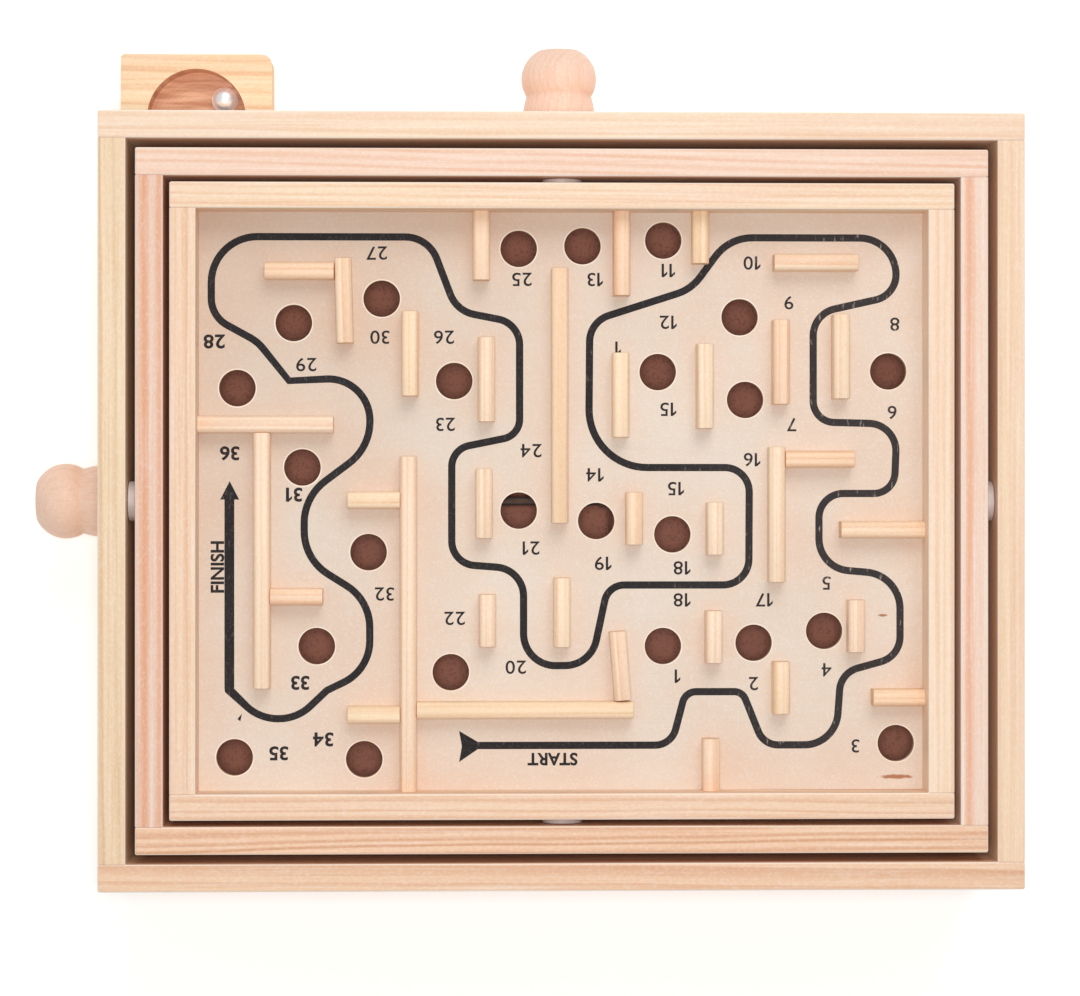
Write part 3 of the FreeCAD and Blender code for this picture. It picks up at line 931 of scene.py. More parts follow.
@dataclass
class MazeBars:
    """The glued bars of the maze, rebuilt with rounded tops and their own grain."""

    round_radius: float = 1.7 * MM
    ease: float = 0.18 * MM
    tiny: float = 0.0001 * MM
    end_shade: float = 0.8
    finish: SolidWood = SolidWood("pine_bars", Grain.OWN, paint(253, 230, 201), paint(224, 158, 108),
                                  paint(252, 222, 200), pith=(0.0, 0.0), ring=2.1 * MM,
                                  contrast=0.42, wander=0.5 * MM, seed=21.0, streaks=0.7)
    dice: random.Random = field(default_factory=lambda: random.Random(7))

    def build(self, nodes: dict[str, bpy.types.Object]) -> None:
        """Makes each bar node's bars.

        Args:
            nodes: The CAD nodes' objects by name.
        """
        material = self.finish.material()
        names = [name for name in sorted(nodes) if name.endswith("_bar") or "_bar_" in name]
        for name in [*names, "short_bars", "pegs"]:
            shape = joined((self.bar(points) for points in islands(nodes[name])), marked=True)
            finished_piece(f"maze_{name}", shape, material, "maze_tray", [name], 40.0)

    def bar(self, points: Sequence[Vector]) -> Shape:
        """Rebuilds one bar.

        Args:
            points: The CAD bar's points.

        Returns:
            The bar's shape.
        """
        middle = sum(points, Vector()) / len(points)
        flat = [point - middle for point in points]
        spread = sum(point.x ** 2 - point.y ** 2 for point in flat)
        turn = Matrix.Rotation(0.5 * math.atan2(2 * sum(point.x * point.y for point in flat), spread), 4, "Z")
        local = [turn.inverted() @ point for point in flat]
        low, high = (Vector([pick(point[part] for point in local) for part in range(3)])
                     for pick in (min, max))
        centre = turn @ ((low + high) / 2) + middle
        size = high - low
        shape = bmesh.new()
        bmesh.ops.create_cube(shape, size=1.0, matrix=Matrix.Diagonal((*size, 1.0)))
        self.round_top(shape, size)
        self.mark_grain(shape)
        bmesh.ops.transform(shape, matrix=Matrix.Translation(centre) @ turn, verts=shape.verts)
        return shape

    def round_top(self, shape: Shape, size: Vector) -> None:
        """Rounds the top's long edges, then eases the ends.

        Args:
            shape: A block with its middle at the origin, which runs along X.
            size: Its size.
        """
        def span(edge: bmesh.types.BMEdge) -> Vector:
            """How far an edge reaches along each axis."""
            return Vector([abs(part) for part in edge.verts[0].co - edge.verts[1].co])

        def lowest(edge: bmesh.types.BMEdge) -> float:
            """Height of an edge's lower end."""
            return min(vert.co.z for vert in edge.verts)

        top = [edge for edge in shape.edges if span(edge).x > size.x / 2 and lowest(edge) > 0]
        bmesh.ops.bevel(shape, geom=top, offset=self.round_radius, segments=6, profile=0.5,
                        affect="EDGES", material=-1)
        ends = [edge for edge in shape.edges if span(edge).x < self.tiny
                and (lowest(edge) > -size.z / 2 + self.tiny or span(edge).z > size.z / 2)]
        bmesh.ops.bevel(shape, geom=ends, offset=self.ease, segments=2, profile=0.5,
                        affect="EDGES", material=-1)

    def mark_grain(self, shape: Shape) -> None:
        """Gives the bar its own piece of grain, tone and sawn ends.

        Args:
            shape: The bar, which runs along X.
        """
        grain = shape.verts.layers.float_vector.new("grain")
        tone = shape.verts.layers.float.new("tone")
        end = shape.faces.layers.float.new("end")
        offset = Vector((self.dice.uniform(-9, 9), self.dice.uniform(4, 14) * MM,
                         self.dice.uniform(-11, 11) * MM))
        shade = self.dice.random()
        for vert in shape.verts:
            vert[grain] = vert.co + offset
            vert[tone] = shade
        shape.normal_update()
        for face in shape.faces:
            face[end] = self.end_shade if abs(face.normal.x) > 0.9 else 0.0


class Weight(Enum):
    """How heavy a printed figure is."""

    LIGHT = 0.05 * MM
    BOLD = 0.17 * MM


@dataclass
class MazePrint:
    """The printed route, its numbers and its two words."""

    line_width: float = 2.4 * MM
    stem_width: float = 3.2 * MM
    figure_height: float = 4.3 * MM
    figure_gap: float = 0.75 * MM
    figure_stretch: float = 1.1
    film: float = 0.03 * MM
    top: float = 0.0
    letter_size: float = 6 * MM
    flag_width: float = 0.26
    flag_heights: tuple[float, ...] = (0.0, 0.9, 1.7, 0.8)
    least_step: float = 0.3
    stem_start: float = 0.985
    corners: tuple[tuple[float, float, float], ...] = (
        (30, 80, 0), (-36.0, 80, 7), (-40.6, 62.5, 4.5), (-59.3, 62.5, 4), (-66.3, 80, 7),
        (-90.0, 80, 11), (-91.7, 56.4, 8), (-111.2, 51, 8.5), (-111.2, 24.3, 12), (-84.5, 22, 10.5),
        (-84.5, -2.5, 8), (-109.3, -2.5, 7), (-110.2, -25.3, 9), (-82.6, -26, 7),
        (-82.6, -61.5, 9), (-109.9, -67.6, 8.5), (-109.9, -86.4, 12), (-55, -86.4, 15),
        (-42.5, -69.5, 15), (-9.2, -58.8, 9), (-8.8, -11, 19), (-61.6, -11, 8), (-61.4, 27.5, 8.5),
        (-15.2, 27.5, 6.5), (-9.6, 53.8, 10.5), (12.5, 54, 10.5), (12.5, 22.3, 9.5), (36, 20.5, 8),
        (36, -17, 7), (13.8, -21.5, 6.5), (13.8, -58.2, 8.5), (34.4, -62.2, 10.5), (43.6, -86.4, 11),
        (114.5, -86.4, 15), (114.5, -60.3, 10), (99.3, -52, 14), (89.4, -39.3, 0.5), (63.0, -40.6, 13.5),
        (62.6, -17.6, 17), (84.2, -1.4, 17), (84.2, 19.0, 16.5), (62.8, 32.4, 16), (62.8, 55.2, 15),
        (76.7, 61.8, 1), (86.5, 71.1, 15), (98.6, 71.1, 15), (108.6, 61.9, 0.4), (108.6, -0.5, 0),
    )
    head: tuple[tuple[float, float], ...] = ((108.5, -6.5), (111.6, -0.5), (105.4, -0.5))
    tail: tuple[tuple[float, float], ...] = ((33.6, 75.2), (27.5, 78.8), (27.5, 81.2), (33.6, 85.4),
                                             (32.7, 80.2))
    fleck: tuple[tuple[float, float], ...] = ((104.5, 69.4), (106.0, 71.2), (105.0, 71.9))
    figures: tuple[tuple[str, float, float], ...] = (
        ("27", 60.5, -81.1), ("28", 113.5, -52.1), ("29", 83.5, -44.6), ("30", 59.5, -53.6),
        ("31", 87.5, -2.1), ("32", 58, 30.4), ("33", 85.5, 59.4), ("34", 78, 77.9), ("35", 92.5, 82.4),
        ("36", 108.5, -15.6), ("26", 38.5, -53.6), ("25", 13, -72.6), ("24", 10, -16.5), ("23", 38, -25.1),
        ("22", 35, 38.4), ("21", 10, 15.4), ("20", 15, 54.4), ("19", -13.6, 20.4), ("18", -39.5, 21.9),
        ("18", -39.5, 32.4), ("17", -66.5, 32.4), ("16", -62.5, -13.6), ("15", -35, -30.1),
        ("15", -37.5, -4.1), ("14", -10.9, -8.6), ("13", -11, -72.6), ("12", -35, -58.6),
        ("11", -35, -75.6), ("10", -62.5, -78.1), ("9", -74.6, -65.1), ("8", -109.5, -58.1),
        ("7", -75.5, -25.1), ("6", -108.6, -29.1), ("5", -87, 26.9), ("4", -87, 55.4), ("3", -96.5, 80.4),
        ("2", -63, 59.9), ("1", -38, 57.4), ("1", -18.5, -50.1),
    )
    bold_figures: frozenset[str] = frozenset(("28", "31", "33", "34", "35", "36"))
    words: tuple[tuple[str, float, float, float, float], ...] = (
        ("START", 3.0, 84.5, 0.0, 16.0), ("FINISH", 112.5, 21.5, -90.0, 16.5),
    )

    def build(self) -> None:
        """Makes the route, the figures and the words."""
        self.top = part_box("maze_board")[1].z
        ink = Ink().material()
        route = [self.line(*self.rounded())]
        route += [self.patch(outline) for outline in (self.head, self.tail, self.fleck)]
        finished_piece("printed_route", joined(route), ink, "maze_tray", (), 60.0)
        figures = [self.figure(*figure) for figure in self.figures]
        finished_piece("printed_numbers", joined(figures), ink, "maze_tray")
        words = [self.word(*word) for word in self.words]
        finished_piece("printed_words", joined(words), ink, "maze_tray")

    def rounded(self, step: float = math.radians(6)) -> tuple[list[Vector], list[float]]:
        """Runs of the route with an arc at each corner; the last run, the arrow's stem, is wider.

        Args:
            step: Turn between two points of an arc.

        Returns:
            Points along the route's middle, and the line's width at each.
        """
        places = [Vector((x, y)) for x, y, _ in self.corners]
        points = [places[0]]
        for before, corner, after, (_, _, radius) in zip(places, places[1:], places[2:], self.corners[1:]):
            arriving = (corner - before).normalized()
            leaving = (after - corner).normalized()
            turn = math.atan2(arriving.x * leaving.y - arriving.y * leaving.x, arriving.dot(leaving))
            reach = radius * math.tan(abs(turn) / 2)
            inward = Vector((-arriving.y, arriving.x)) * math.copysign(1.0, turn)
            start = corner - arriving * reach
            middle = start + inward * radius
            count = max(2, math.ceil(abs(turn) / step))
            for number in range(count + 1):
                spin = Matrix.Rotation(turn * number / count, 2)
                points.append(middle + spin @ (start - middle))
        points = [point for point, after in zip(points, points[1:])
                  if (after - point).length > self.least_step] + points[-1:]
        widths = [self.line_width] * (len(points) - 1) + [self.stem_width] * 3
        points += [places[-1].lerp(points[-1], self.stem_start), places[-1]]
        return [Vector((*point, 0.0)) * MM for point in points], widths

    def line(self, points: Sequence[Vector], widths: Sequence[float]) -> Shape:
        """Prints a line as a flat closed film.

        Args:
            points: Its middle.
            widths: Its width at each point.

        Returns:
            The film.
        """
        shape = wire(points, self.line_width / 2, sides=3,
                     swells=[width / self.line_width for width in widths])
        flat = Matrix.Translation((0, 0, self.top + self.film / 2)) @ Matrix.Diagonal(
            (1, 1, self.film / self.line_width, 1))
        bmesh.ops.transform(shape, matrix=flat, verts=shape.verts)
        return shape

    def patch(self, outline: Iterable[Pair]) -> Shape:
        """Prints a patch with straight sides as a flat closed film.

        Args:
            outline: Its corners in millimetres.

        Returns:
            The film.
        """
        shape = bmesh.new()
        under = self.top - self.film / 2
        verts = [shape.verts.new((x * MM, y * MM, under)) for x, y in outline]
        face = shape.faces.new(verts)
        grown = bmesh.ops.extrude_face_region(shape, geom=[face])
        bmesh.ops.translate(shape, verts=new_points(grown), vec=(0, 0, 1.5 * self.film))
        bmesh.ops.recalc_face_normals(shape, faces=shape.faces)
        return shape

    def letters(self, body: str) -> tuple[Shape, Vector, Vector]:
        """Makes a text as a flat closed film at the origin.

        Args:
            body: The text.

        Returns:
            The film, and its lowest and highest corners.
        """
        words = bpy.data.curves.new("words", "FONT")
        words.body = body
        words.size = self.letter_size
        words.extrude = self.film / 2
        words.resolution_u = 6
        shape = shape_of(words)
        bmesh.ops.remove_doubles(shape, verts=shape.verts, dist=1e-7)
        low, high = (Vector([pick(vert.co[part] for vert in shape.verts) for part in range(3)])
                     for pick in (min, max))
        return shape, low, high

    def printed(self, shape: Shape, place: Matrix, weight: Weight) -> Shape:
        """Puts a flat film in its place and makes its strokes heavier.

        Args:
            shape: The film.
            place: Where it goes.
            weight: How heavy its strokes get.

        Returns:
            The same film.
        """
        bmesh.ops.transform(shape, matrix=place, verts=shape.verts)
        shape.normal_update()
        moves = {}
        for vert in shape.verts:
            walls = [face.normal.copy() for face in vert.link_faces if abs(face.normal.z) < 0.5]
            outward = sum(walls, Vector())
            if outward.length > 1e-6:
                outward.normalize()
                sharpness = max(0.6, min(outward.dot(wall) for wall in walls))
                moves[vert] = outward * (weight.value / sharpness)
        for vert, move in moves.items():
            vert.co += move
        return shape

    def figure(self, body: str, x: float, y: float) -> Shape:
        """Prints a number, one figure after the other, with a flag on each 1.

        Args:
            body: The number.
            x: Its middle, in millimetres.
            y: Its middle, in millimetres.

        Returns:
            The number's shape.
        """
        weight = Weight.BOLD if body in self.bold_figures else Weight.LIGHT
        glyphs = [self.letters(character) for character in body]
        sizes = [self.figure_height / (high.y - low.y) for _, low, high in glyphs]
        flags = [self.figure_height * self.flag_width if character == "1" else 0.0 for character in body]
        widths = [(high.x - low.x) * size * self.figure_stretch + flag
                  for (_, low, high), size, flag in zip(glyphs, sizes, flags)]
        left = x * MM - (sum(widths) + self.figure_gap * (len(body) - 1)) / 2
        bottom = y * MM - self.figure_height / 2
        shapes = []
        for (shape, low, _), size, width, flag in zip(glyphs, sizes, widths, flags):
            start = left + flag
            place = (Matrix.Translation((start, bottom, self.top + self.film / 4))
                     @ Matrix.Diagonal((size * self.figure_stretch, size, 1.0, 1.0))
                     @ Matrix.Translation((-low.x, -low.y, 0.0)))
            shapes.append(self.printed(shape, place, weight))
            if flag:
                top = bottom + self.figure_height + weight.value
                sides = (start, left, left, start)
                shapes.append(self.patch((side / MM, (top - flag * fall) / MM)
                                         for side, fall in zip(sides, self.flag_heights)))
            left += width + self.figure_gap
        return joined(shapes)

    def word(self, body: str, x: float, y: float, turn: float, length: float) -> Shape:
        """Prints a word.

        Args:
            body: The word.
            x: Its middle, in millimetres.
            y: Its middle, in millimetres.
            turn: How far it is turned, in degrees.
            length: Its whole length, in millimetres.

        Returns:
            The word's shape.
        """
        shape, low, high = self.letters(body)
        size = length * MM / (high.x - low.x)
        place = (Matrix.Translation((x * MM, y * MM, self.top + self.film / 4))
                 @ Matrix.Rotation(math.radians(turn), 4, "Z") @ Matrix.Diagonal((size, size, 1.0, 1.0))
                 @ Matrix.Translation((-(low.x + high.x) / 2, -(low.y + high.y) / 2, 0.0)))
        return self.printed(shape, place, Weight.BOLD)


@dataclass
class HoleRims:
    """A pale ring round each hole in the maze board, a painted highlight on its rim."""

    radius: float = 6.0 * MM
    width: float = 0.40 * MM
    film: float = 0.02 * MM
    segments: int = 48

    def build(self, record: dict) -> None:
        """Makes a flat ring round each hole.

        Args:
            record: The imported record.
        """
        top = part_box("maze_board")[1].z
        rings = []
        for opening in record["physics"]["openings"]:
            if opening["name"].startswith("ball_hole_"):
                low, high = (Vector(corner) for corner in opening["box_m"])
                middle = (low + high) / 2
                middle.z = top - self.film
                rings.append(self.ring(middle))
        # Painted highlight: a pale ring that stands in for the light on each hole's rim.
        rim_highlight = PlainFinish("hole_rim_highlight", paint(252, 240, 224), paint(244, 226, 204), 0.6)
        finished_piece("hole_rims", joined(rings), rim_highlight.material(), "maze_tray")

    def ring(self, middle: Vector) -> Shape:
        """Makes a closed flat ring that stands a little proud.

        Args:
            middle: Middle of its underside.

        Returns:
            The ring.
        """
        shape = bmesh.new()
        bmesh.ops.create_circle(shape, segments=self.segments, radius=self.radius)
        grown = bmesh.ops.extrude_edge_only(shape, edges=list(shape.edges))
        growth = 1 + self.width / self.radius
        bmesh.ops.scale(shape, verts=new_points(grown), vec=(growth, growth, 0))
        grown = bmesh.ops.extrude_face_region(shape, geom=list(shape.faces))
        bmesh.ops.translate(shape, verts=new_points(grown), vec=(0, 0, 2 * self.film))
        bmesh.ops.translate(shape, verts=shape.verts, vec=middle)
        return shape


class Side(Enum):
    """Which way a knob points."""

    FRONT = (0.0, -1.0, 0.0)
    RIGHT = (1.0, 0.0, 0.0)


@dataclass
class KnobDrive:
    """A turned knob with its shaft, retainers and cord winding."""

    name: str
    side: Side
    foot_radius: float = 12.3 * MM
    neck_radius: float = 10.9 * MM
    neck_at: float = 10.2 * MM
    head_at: float = 15.7 * MM
    flat_radius: float = 6.8 * MM
    foot_ease: float = 0.8 * MM
    bore_depth: float = 14 * MM
    bore_radius: float = 1.5 * MM
    cord_radius: float = 0.4 * MM
    spin_steps: int = 96
    head_steps: int = 28
    neck_steps: int = 5
    tone: float = 0.62
    end_shade: float = 0.35
    strand_share: float = 0.98

    def build(self, steel: bpy.types.Material, rubber: bpy.types.Material,
              thread: bpy.types.Material, beech: bpy.types.Material) -> None:
        """Makes the knob and the winding, and dresses the rest.

        Args:
            steel: The shaft's material.
            rubber: The retainers' material.
            thread: The cord's material.
            beech: The knob's material.
        """
        body = f"{self.name}_knob"
        dress(f"{self.name}_shaft", steel)
        dress(f"{self.name}_retainers", rubber)
        finished_piece(f"{self.name}_turned_knob", self.knob(), beech, body, [body], 50.0)
        finished_piece(f"{self.name}_cord_winding", self.winding(), thread, body,
                       [f"{self.name}_winding"], 80.0)

    def arc(self, length: float, widest: float) -> list[Vector]:
        """Draws the head, from the neck over its widest point to the flat end.

        Args:
            length: Where the flat end is, from the wall.
            widest: The head's greatest radius.

        Returns:
            Radius and distance from the wall, point by point.
        """
        a = Vector((self.neck_radius, self.neck_at))
        b = Vector((widest, self.head_at))
        c = Vector((self.flat_radius, length))
        to_b, to_c = b - a, c - a
        middle = a + Vector((to_c.y * to_b.length_squared - to_b.y * to_c.length_squared,
                             to_b.x * to_c.length_squared - to_c.x * to_b.length_squared)
                            ) / (2 * (to_b.x * to_c.y - to_b.y * to_c.x))
        radius = (a - middle).length
        first, last = (math.atan2(*(end - middle).yx) for end in (a, c))
        angles = [first + (last - first) * number / self.head_steps for number in range(self.head_steps + 1)]
        return [middle + Vector((math.cos(angle), math.sin(angle))) * radius for angle in angles]

    def knob(self) -> Shape:
        """Turns the knob on its axis.

        Returns:
            The knob, in place.
        """
        low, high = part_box(f"{self.name}_knob")
        outward = Vector(self.side.value)
        across = 0 if self.side is Side.FRONT else 1
        widest = (high[across] - low[across]) / 2
        axis_part = 1 - across
        ends = sorted((abs(low[axis_part]), abs(high[axis_part])))
        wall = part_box(f"{self.name}_panel")
        wall_at = max(abs(wall[0][axis_part]), abs(wall[1][axis_part]))
        start, length = ends[0] - wall_at, ends[1] - wall_at
        ease = self.foot_ease
        foot = [Vector((self.foot_radius - ease + ease * math.sin(t), start + ease - ease * math.cos(t)))
                for t in (math.radians(15 * number) for number in range(7))]
        shares = [number / self.neck_steps for number in range(1, self.neck_steps)]
        neck = [Vector((self.foot_radius + (self.neck_radius - self.foot_radius) * share ** 2,
                        start + ease + (self.neck_at - start - ease) * share)) for share in shares]
        head = self.arc(length, widest)
        profile = [Vector((0.0, self.bore_depth)), Vector((self.bore_radius, self.bore_depth)),
                   Vector((self.bore_radius, start)), *foot, *neck, *head, Vector((0.0, length))]
        shape = bmesh.new()
        verts = [shape.verts.new((p.x, 0.0, p.y)) for p in profile]
        edges = [shape.edges.new(pair) for pair in zip(verts, verts[1:])]
        bmesh.ops.spin(shape, geom=[*verts, *edges], cent=(0, 0, 0), axis=UP, angle=2 * math.pi,
                       steps=self.spin_steps, use_merge=True)
        bmesh.ops.remove_doubles(shape, verts=shape.verts, dist=1e-6)
        bmesh.ops.recalc_face_normals(shape, faces=shape.faces)
        self.mark_grain(shape)
        base = (low + high) / 2
        base[axis_part] = wall_at * outward[axis_part]
        turn = UP.rotation_difference(outward).to_matrix().to_4x4()
        bmesh.ops.transform(shape, matrix=Matrix.Translation(base) @ turn, verts=shape.verts)
        return shape

    def mark_grain(self, shape: Shape) -> None:
        """Runs the knob's grain along its axis, with the flat end as end grain.

        Args:
            shape: The knob, upright at the origin.
        """
        grain = shape.verts.layers.float_vector.new("grain")
        tone = shape.verts.layers.float.new("tone")
        end = shape.verts.layers.float.new("end")
        shift = 3.0 if self.side is Side.FRONT else 8.0
        shape.normal_update()
        for vert in shape.verts:
            vert[grain] = Vector((vert.co.z + shift, vert.co.x + 16 * MM, vert.co.y + 5 * MM))
            vert[tone] = self.tone
            vert[end] = self.end_shade * max(0.0, vert.normal.z) ** 3

    def winding(self) -> Shape:
        """Winds the cord round the shaft.

        Returns:
            The winding, in place.
        """
        low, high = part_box(f"{self.name}_winding")
        part = 1 if self.side is Side.FRONT else 0
        axis = Vector((0, 1, 0)) if self.side is Side.FRONT else Vector((1, 0, 0))
        pitch = 2 * self.cord_radius
        turns = (high[part] - low[part]) / pitch - 1
        start = (low + high) / 2
        start[part] = low[part] + self.cord_radius
        return wire(helix(start, axis, self.bore_radius + self.cord_radius, pitch, turns, steps=24),
                    self.cord_radius * self.strand_share)


class Line(Enum):
    """Which way a cord runs under its frame."""

    ALONG_X = (1.0, 0.0, 0.0)
    ALONG_Y = (0.0, 1.0, 0.0)


@dataclass
class CordPull:
    """The cord over a shaft and the spring that keeps it tight."""

    name: str
    body: str
    line: Line
    cord_radius: float = 0.4 * MM
    loop_radius: float = 1.7 * MM
    knot_radius: float = 1.0 * MM
    eye_ring: float = 2.4 * MM
    eye_wire: float = 0.6 * MM
    spring_radius: float = 2.2 * MM
    spring_length: float = 14 * MM
    spring_wire: float = 0.35 * MM
    coil_pitch: float = 2.05
    hook_radius: float = 1.6 * MM
    hook_reach: float = 0.6 * MM
    lay: float = 3.2 * MM
    strands: int = 3
    strand_share: float = 0.52
    knot_turns: float = 2.5
    knot_start: float = 0.7
    knot_wrap: float = 0.62
    knot_pitch: float = 0.56
    knot_cord: float = 0.95

    def build(self, thread: bpy.types.Material, steel: bpy.types.Material) -> None:
        """Makes the cord and the spring.

        Args:
            thread: The cord's material.
            steel: The spring's material.
        """
        along = Vector(self.line.value)
        side = Vector((along.y, along.x, 0.0))
        part = 0 if self.line is Line.ALONG_X else 1
        low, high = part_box(f"{self.name}_screw_eyes")
        eyes = []
        for end in (low, high):
            eye = (low + high) / 2
            eye[part] = end[part] + math.copysign(self.eye_ring + self.eye_wire, -end[part])
            eye.z = low.z + self.eye_ring + self.eye_wire
            eyes.append(eye)
        bottom = (low + high) / 2
        bottom[part] = 0.0
        bottom.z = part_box(f"{self.name}_cord")[0].z + self.cord_radius
        toward = [(bottom - eye).normalized() for eye in eyes]
        near = eyes[0] + toward[0] * (self.eye_ring + self.hook_reach)
        coil = near + toward[0] * self.hook_radius
        far = coil + toward[0] * (self.spring_length + self.hook_radius)
        cord = self.tied(eyes[1], self.eye_ring, toward[1], toward[1].cross(side), bottom)
        cord += self.tied(far, self.hook_radius, toward[0], side, bottom)
        finished_piece(f"{self.name}_pull_cord", joined(cord), thread, self.body,
                       [f"{self.name}_cord"], 80.0)
        spring = self.spring(near, coil, far, toward[0], side)
        finished_piece(f"{self.name}_coil_spring", joined(spring), steel, self.body,
                       [f"{self.name}_spring"], 80.0)

    def tied(self, ring: Vector, ring_radius: float, toward: Vector, normal: Vector,
             bottom: Vector) -> list[Shape]:
        """Cord from a loop round a ring, through its knot, to the low point.

        Args:
            ring: Middle of the ring that the loop holds.
            ring_radius: Radius of that ring.
            toward: Direction of the cord.
            normal: Direction that the loop faces.
            bottom: The cord's low point.

        Returns:
            The loop, the knot and the strands.
        """
        middle = ring + toward * (ring_radius + self.hook_reach)
        knot = middle + toward * (self.loop_radius + self.knot_radius / 2)
        side = normal.cross(toward).normalized()
        wrap = helix(knot - toward * self.knot_radius * self.knot_start, toward,
                     self.knot_radius * self.knot_wrap, self.knot_radius * self.knot_pitch,
                     self.knot_turns, steps=14)
        shapes = [wire(circle(middle, toward, side, self.loop_radius), self.cord_radius, closed=True),
                  wire(wrap, self.cord_radius * self.knot_cord)]
        turns = (bottom - knot).length / self.lay
        strand = self.cord_radius * self.strand_share
        for number in range(self.strands):
            first = 2 * math.pi * number / self.strands
            shapes.append(wire(helix(knot, toward, strand, self.lay, turns, first, steps=8), strand, sides=1))
        return shapes

    def spring(self, near: Vector, coil: Vector, far: Vector, toward: Vector,
               side: Vector) -> list[Shape]:
        """Winds a close-wound spring with a round hook at each end.

        Args:
            near: Middle of the hook in the screw eye.
            coil: Where the coil starts.
            far: Middle of the hook in the cord's loop.
            toward: Direction of the spring.
            side: Level direction across it.

        Returns:
            The hooks and the coil.
        """
        flat = toward.cross(side).normalized()
        across = flat.cross(toward).normalized()
        pitch = self.coil_pitch * self.spring_wire
        turns = (self.spring_length - 2 * self.spring_wire) / pitch
        body = helix(coil + toward * self.spring_wire, toward, self.spring_radius - self.spring_wire,
                     pitch, turns, steps=20)
        return [*(wire(circle(hook, toward, across, self.hook_radius), self.spring_wire, closed=True)
                  for hook in (near, far)), wire(body, self.spring_wire, sides=1)]


@dataclass
class Studio:
    """Pale floor, soft light and the camera over the board."""

    floor_size: float = 40.0
    eye: Vector = field(default_factory=lambda: Vector((0.0350, 0.0, 1.085)))
    aim: Vector = field(default_factory=lambda: Vector((0.0075, -0.0010, 0.085)))
    lens: float = 103.25
    sky: float = 0.48
    sky_colour: Colour = (1.0, 0.995, 0.985)
    lamp_colour: Colour = (1.0, 0.985, 0.96)
    key_power: float = 8.0
    key_place: Vector = field(default_factory=lambda: Vector((-0.20, -1.0, 1.25)))
    key_size: float = 0.9
    over_power: float = 3.4
    over_size: float = 0.12
    over_rise: float = 0.03

    def build(self) -> None:
        """Makes the floor, the lights, the world and the camera."""
        shape = bmesh.new()
        bmesh.ops.create_grid(shape, x_segments=8, y_segments=8, size=self.floor_size / 2)
        mesh = bpy.data.meshes.new("floor")
        shape.to_mesh(mesh)
        shape.free()
        mesh.materials.append(FLOOR_PAPER.material())
        linked("floor", mesh)
        world = bpy.data.worlds.new("white_room")
        world.use_nodes = True
        background = world.node_tree.nodes["Background"].inputs
        background["Color"].default_value = (*self.sky_colour, 1.0)
        background["Strength"].default_value = self.sky
        bpy.context.scene.world = world
        self.light("key", self.key_place, self.key_power, self.key_size)
        self.light("over", self.eye + UP * self.over_rise, self.over_power, self.over_size)
        self.camera()
        bpy.context.scene.view_settings.view_transform = "Standard"
        bpy.context.scene.view_settings.look = "None"

    def light(self, name: str, place: Vector, power: float, size: float) -> None:
        """Adds a square soft light that shines on the board's middle.

        Args:
            name: Its name.
            place: Where it is.
            power: Its power in watts.
            size: Length of its sides.
        """
        lamp = bpy.data.lights.new(name, "AREA")
        lamp.shape = "SQUARE"
        lamp.size = size
        lamp.energy = power
        lamp.color = self.lamp_colour
        holder = linked(name, lamp)
        holder.location = place
        holder.rotation_euler = (self.aim - place).to_track_quat("-Z", "Y").to_euler()

    def camera(self) -> None:
        """Adds the camera, which looks down with the player's side at the top of its picture."""
        lens = bpy.data.cameras.new("camera")
        lens.lens = self.lens
        lens.sensor_width = 36.0
        lens.clip_start = 0.05
        lens.clip_end = 50.0
        back = (self.eye - self.aim).normalized()
        right = Vector((0.0, -1.0, 0.0)).cross(back).normalized()
        above = back.cross(right)
        turn = Matrix((right, above, back)).transposed()
        holder = linked("camera", lens)
        holder.matrix_world = Matrix.Translation(self.eye) @ turn.to_4x4()
        bpy.context.scene.camera = holder


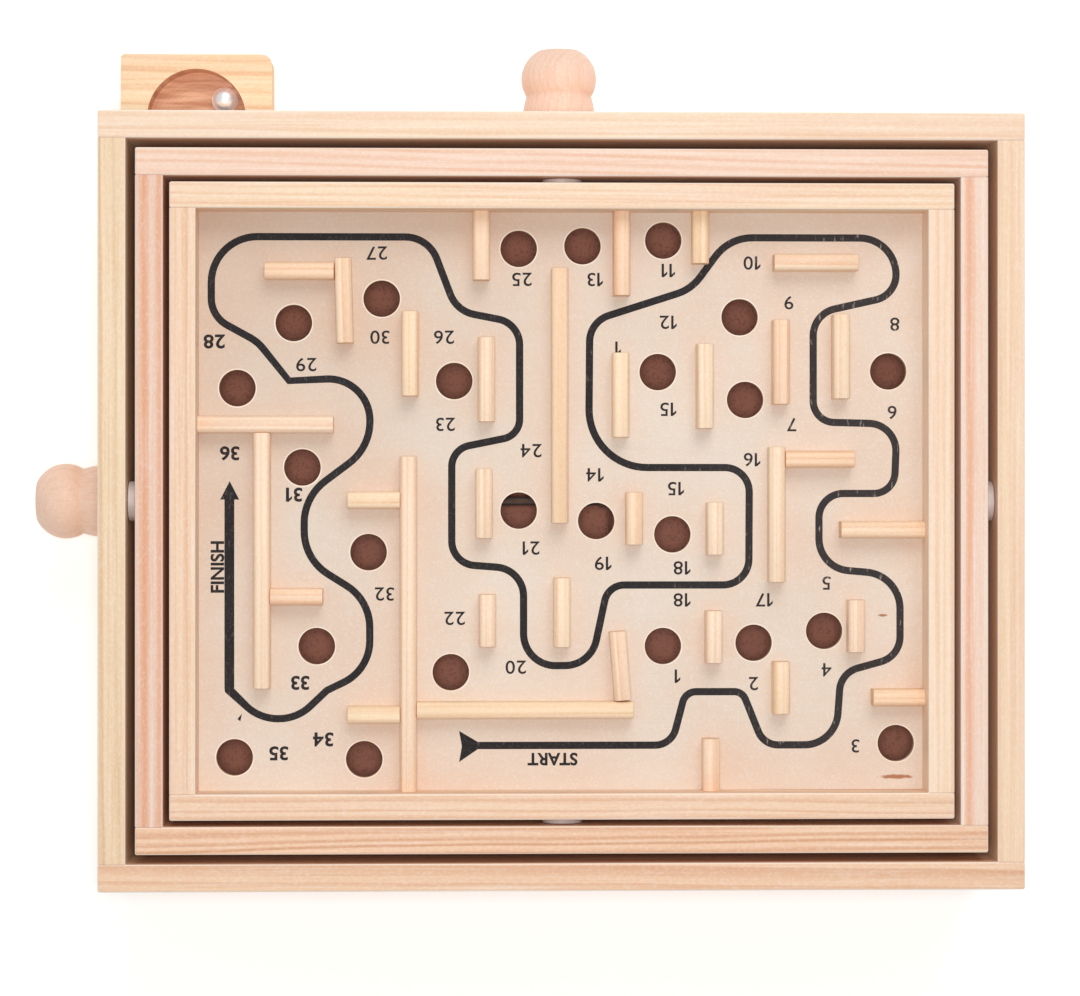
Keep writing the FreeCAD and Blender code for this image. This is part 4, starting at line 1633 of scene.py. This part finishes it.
def tilt_frames() -> tuple[TiltFrame, TiltFrame]:
    """Chooses the boards that the rails are cut from.

    Returns:
        The middle frame and the maze tray's frame.
    """
    frame = TiltFrame(
        "frame",
        front=SolidWood("pine_frame_front", Grain.ALONG_X, paint(246, 218, 199), paint(232, 174, 138),
                        paint(245, 211, 190), pith=(-0.16, 0.072), slope=(0.026, 0.0), ring=3.4 * MM,
                        contrast=0.6, seed=11.0, soft=True),
        back=SolidWood("pine_frame_back", Grain.ALONG_X, paint(246, 208, 176), paint(206, 142, 98),
                       paint(244, 200, 168), pith=(0.045, 0.072), slope=(-0.012, 0.0), ring=2.75 * MM,
                       contrast=0.85, wander=2.6 * MM, seed=12.0, soft=True),
        left=SolidWood("pine_frame_left", Grain.ALONG_Y, paint(244, 220, 205), paint(234, 166, 124),
                       paint(242, 212, 194), pith=(-0.1915, 0.075), ring=6.2 * MM, contrast=0.95,
                       wander=0.8 * MM, seed=13.0, soft=True),
        right=SolidWood("pine_frame_right", Grain.ALONG_Y, paint(236, 206, 188), paint(226, 152, 106),
                        paint(234, 200, 180), pith=(0.1945, 0.075), ring=6.2 * MM, contrast=0.95,
                        wander=0.8 * MM, seed=13.0, soft=True),
    )
    tray = TiltFrame(
        "tray",
        front=SolidWood("pine_tray_front", Grain.ALONG_X, paint(248, 222, 192), paint(226, 166, 118),
                        pith=(-0.16, 0.07), slope=(0.010, 0.0), ring=2.7 * MM, contrast=0.5, seed=15.0),
        back=SolidWood("pine_tray_back", Grain.ALONG_X, paint(246, 213, 182), paint(214, 152, 108),
                       pith=(0.04, 0.065), slope=(0.005, 0.0), ring=2.9 * MM, contrast=0.8, seed=16.0),
        left=SolidWood("pine_tray_left", Grain.ALONG_Y, paint(250, 226, 200), paint(232, 176, 134),
                       pith=(-0.19, 0.075), ring=3.4 * MM, contrast=0.6, wander=0.8 * MM, seed=17.0,
                       soft=True),
        right=SolidWood("pine_tray_right", Grain.ALONG_Y, paint(243, 212, 182), paint(220, 162, 118),
                        pith=(0.19, 0.075), ring=3.7 * MM, contrast=0.55, wander=0.7 * MM, seed=18.0),
    )
    return frame, tray


def main() -> None:
    """Builds the maze's looks in order."""
    logging.basicConfig(level=logging.INFO, format="%(name)s: %(message)s")
    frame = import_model()
    steel = DRAWN_STEEL.material()
    thread = THREAD.material()
    rubber = RUBBER.material()
    nylon = NYLON.material()
    beech = SolidWood("beech", Grain.OWN, paint(245, 211, 190), paint(218, 166, 136),
                      paint(243, 204, 184), ring=2.2 * MM, contrast=0.22, wander=0.8 * MM,
                      seed=31.0, streaks=0.45).material()
    BoxCase().build()
    BallReturn().build()
    for tilt_frame in tilt_frames():
        tilt_frame.build(nylon, steel)
    dress("maze_board", BoardPlywood().material())
    MazeBars().build(frame["nodes"])
    MazePrint().build()
    HoleRims().build(frame["record"])
    for drive in (KnobDrive("front", Side.FRONT), KnobDrive("right", Side.RIGHT)):
        drive.build(steel, rubber, thread, beech)
    for pull in (CordPull("frame", "middle_frame", Line.ALONG_Y),
                 CordPull("tray", "maze_tray", Line.ALONG_X)):
        pull.build(thread, steel)
    Studio().build()


if __name__ == "__main__":
    main()
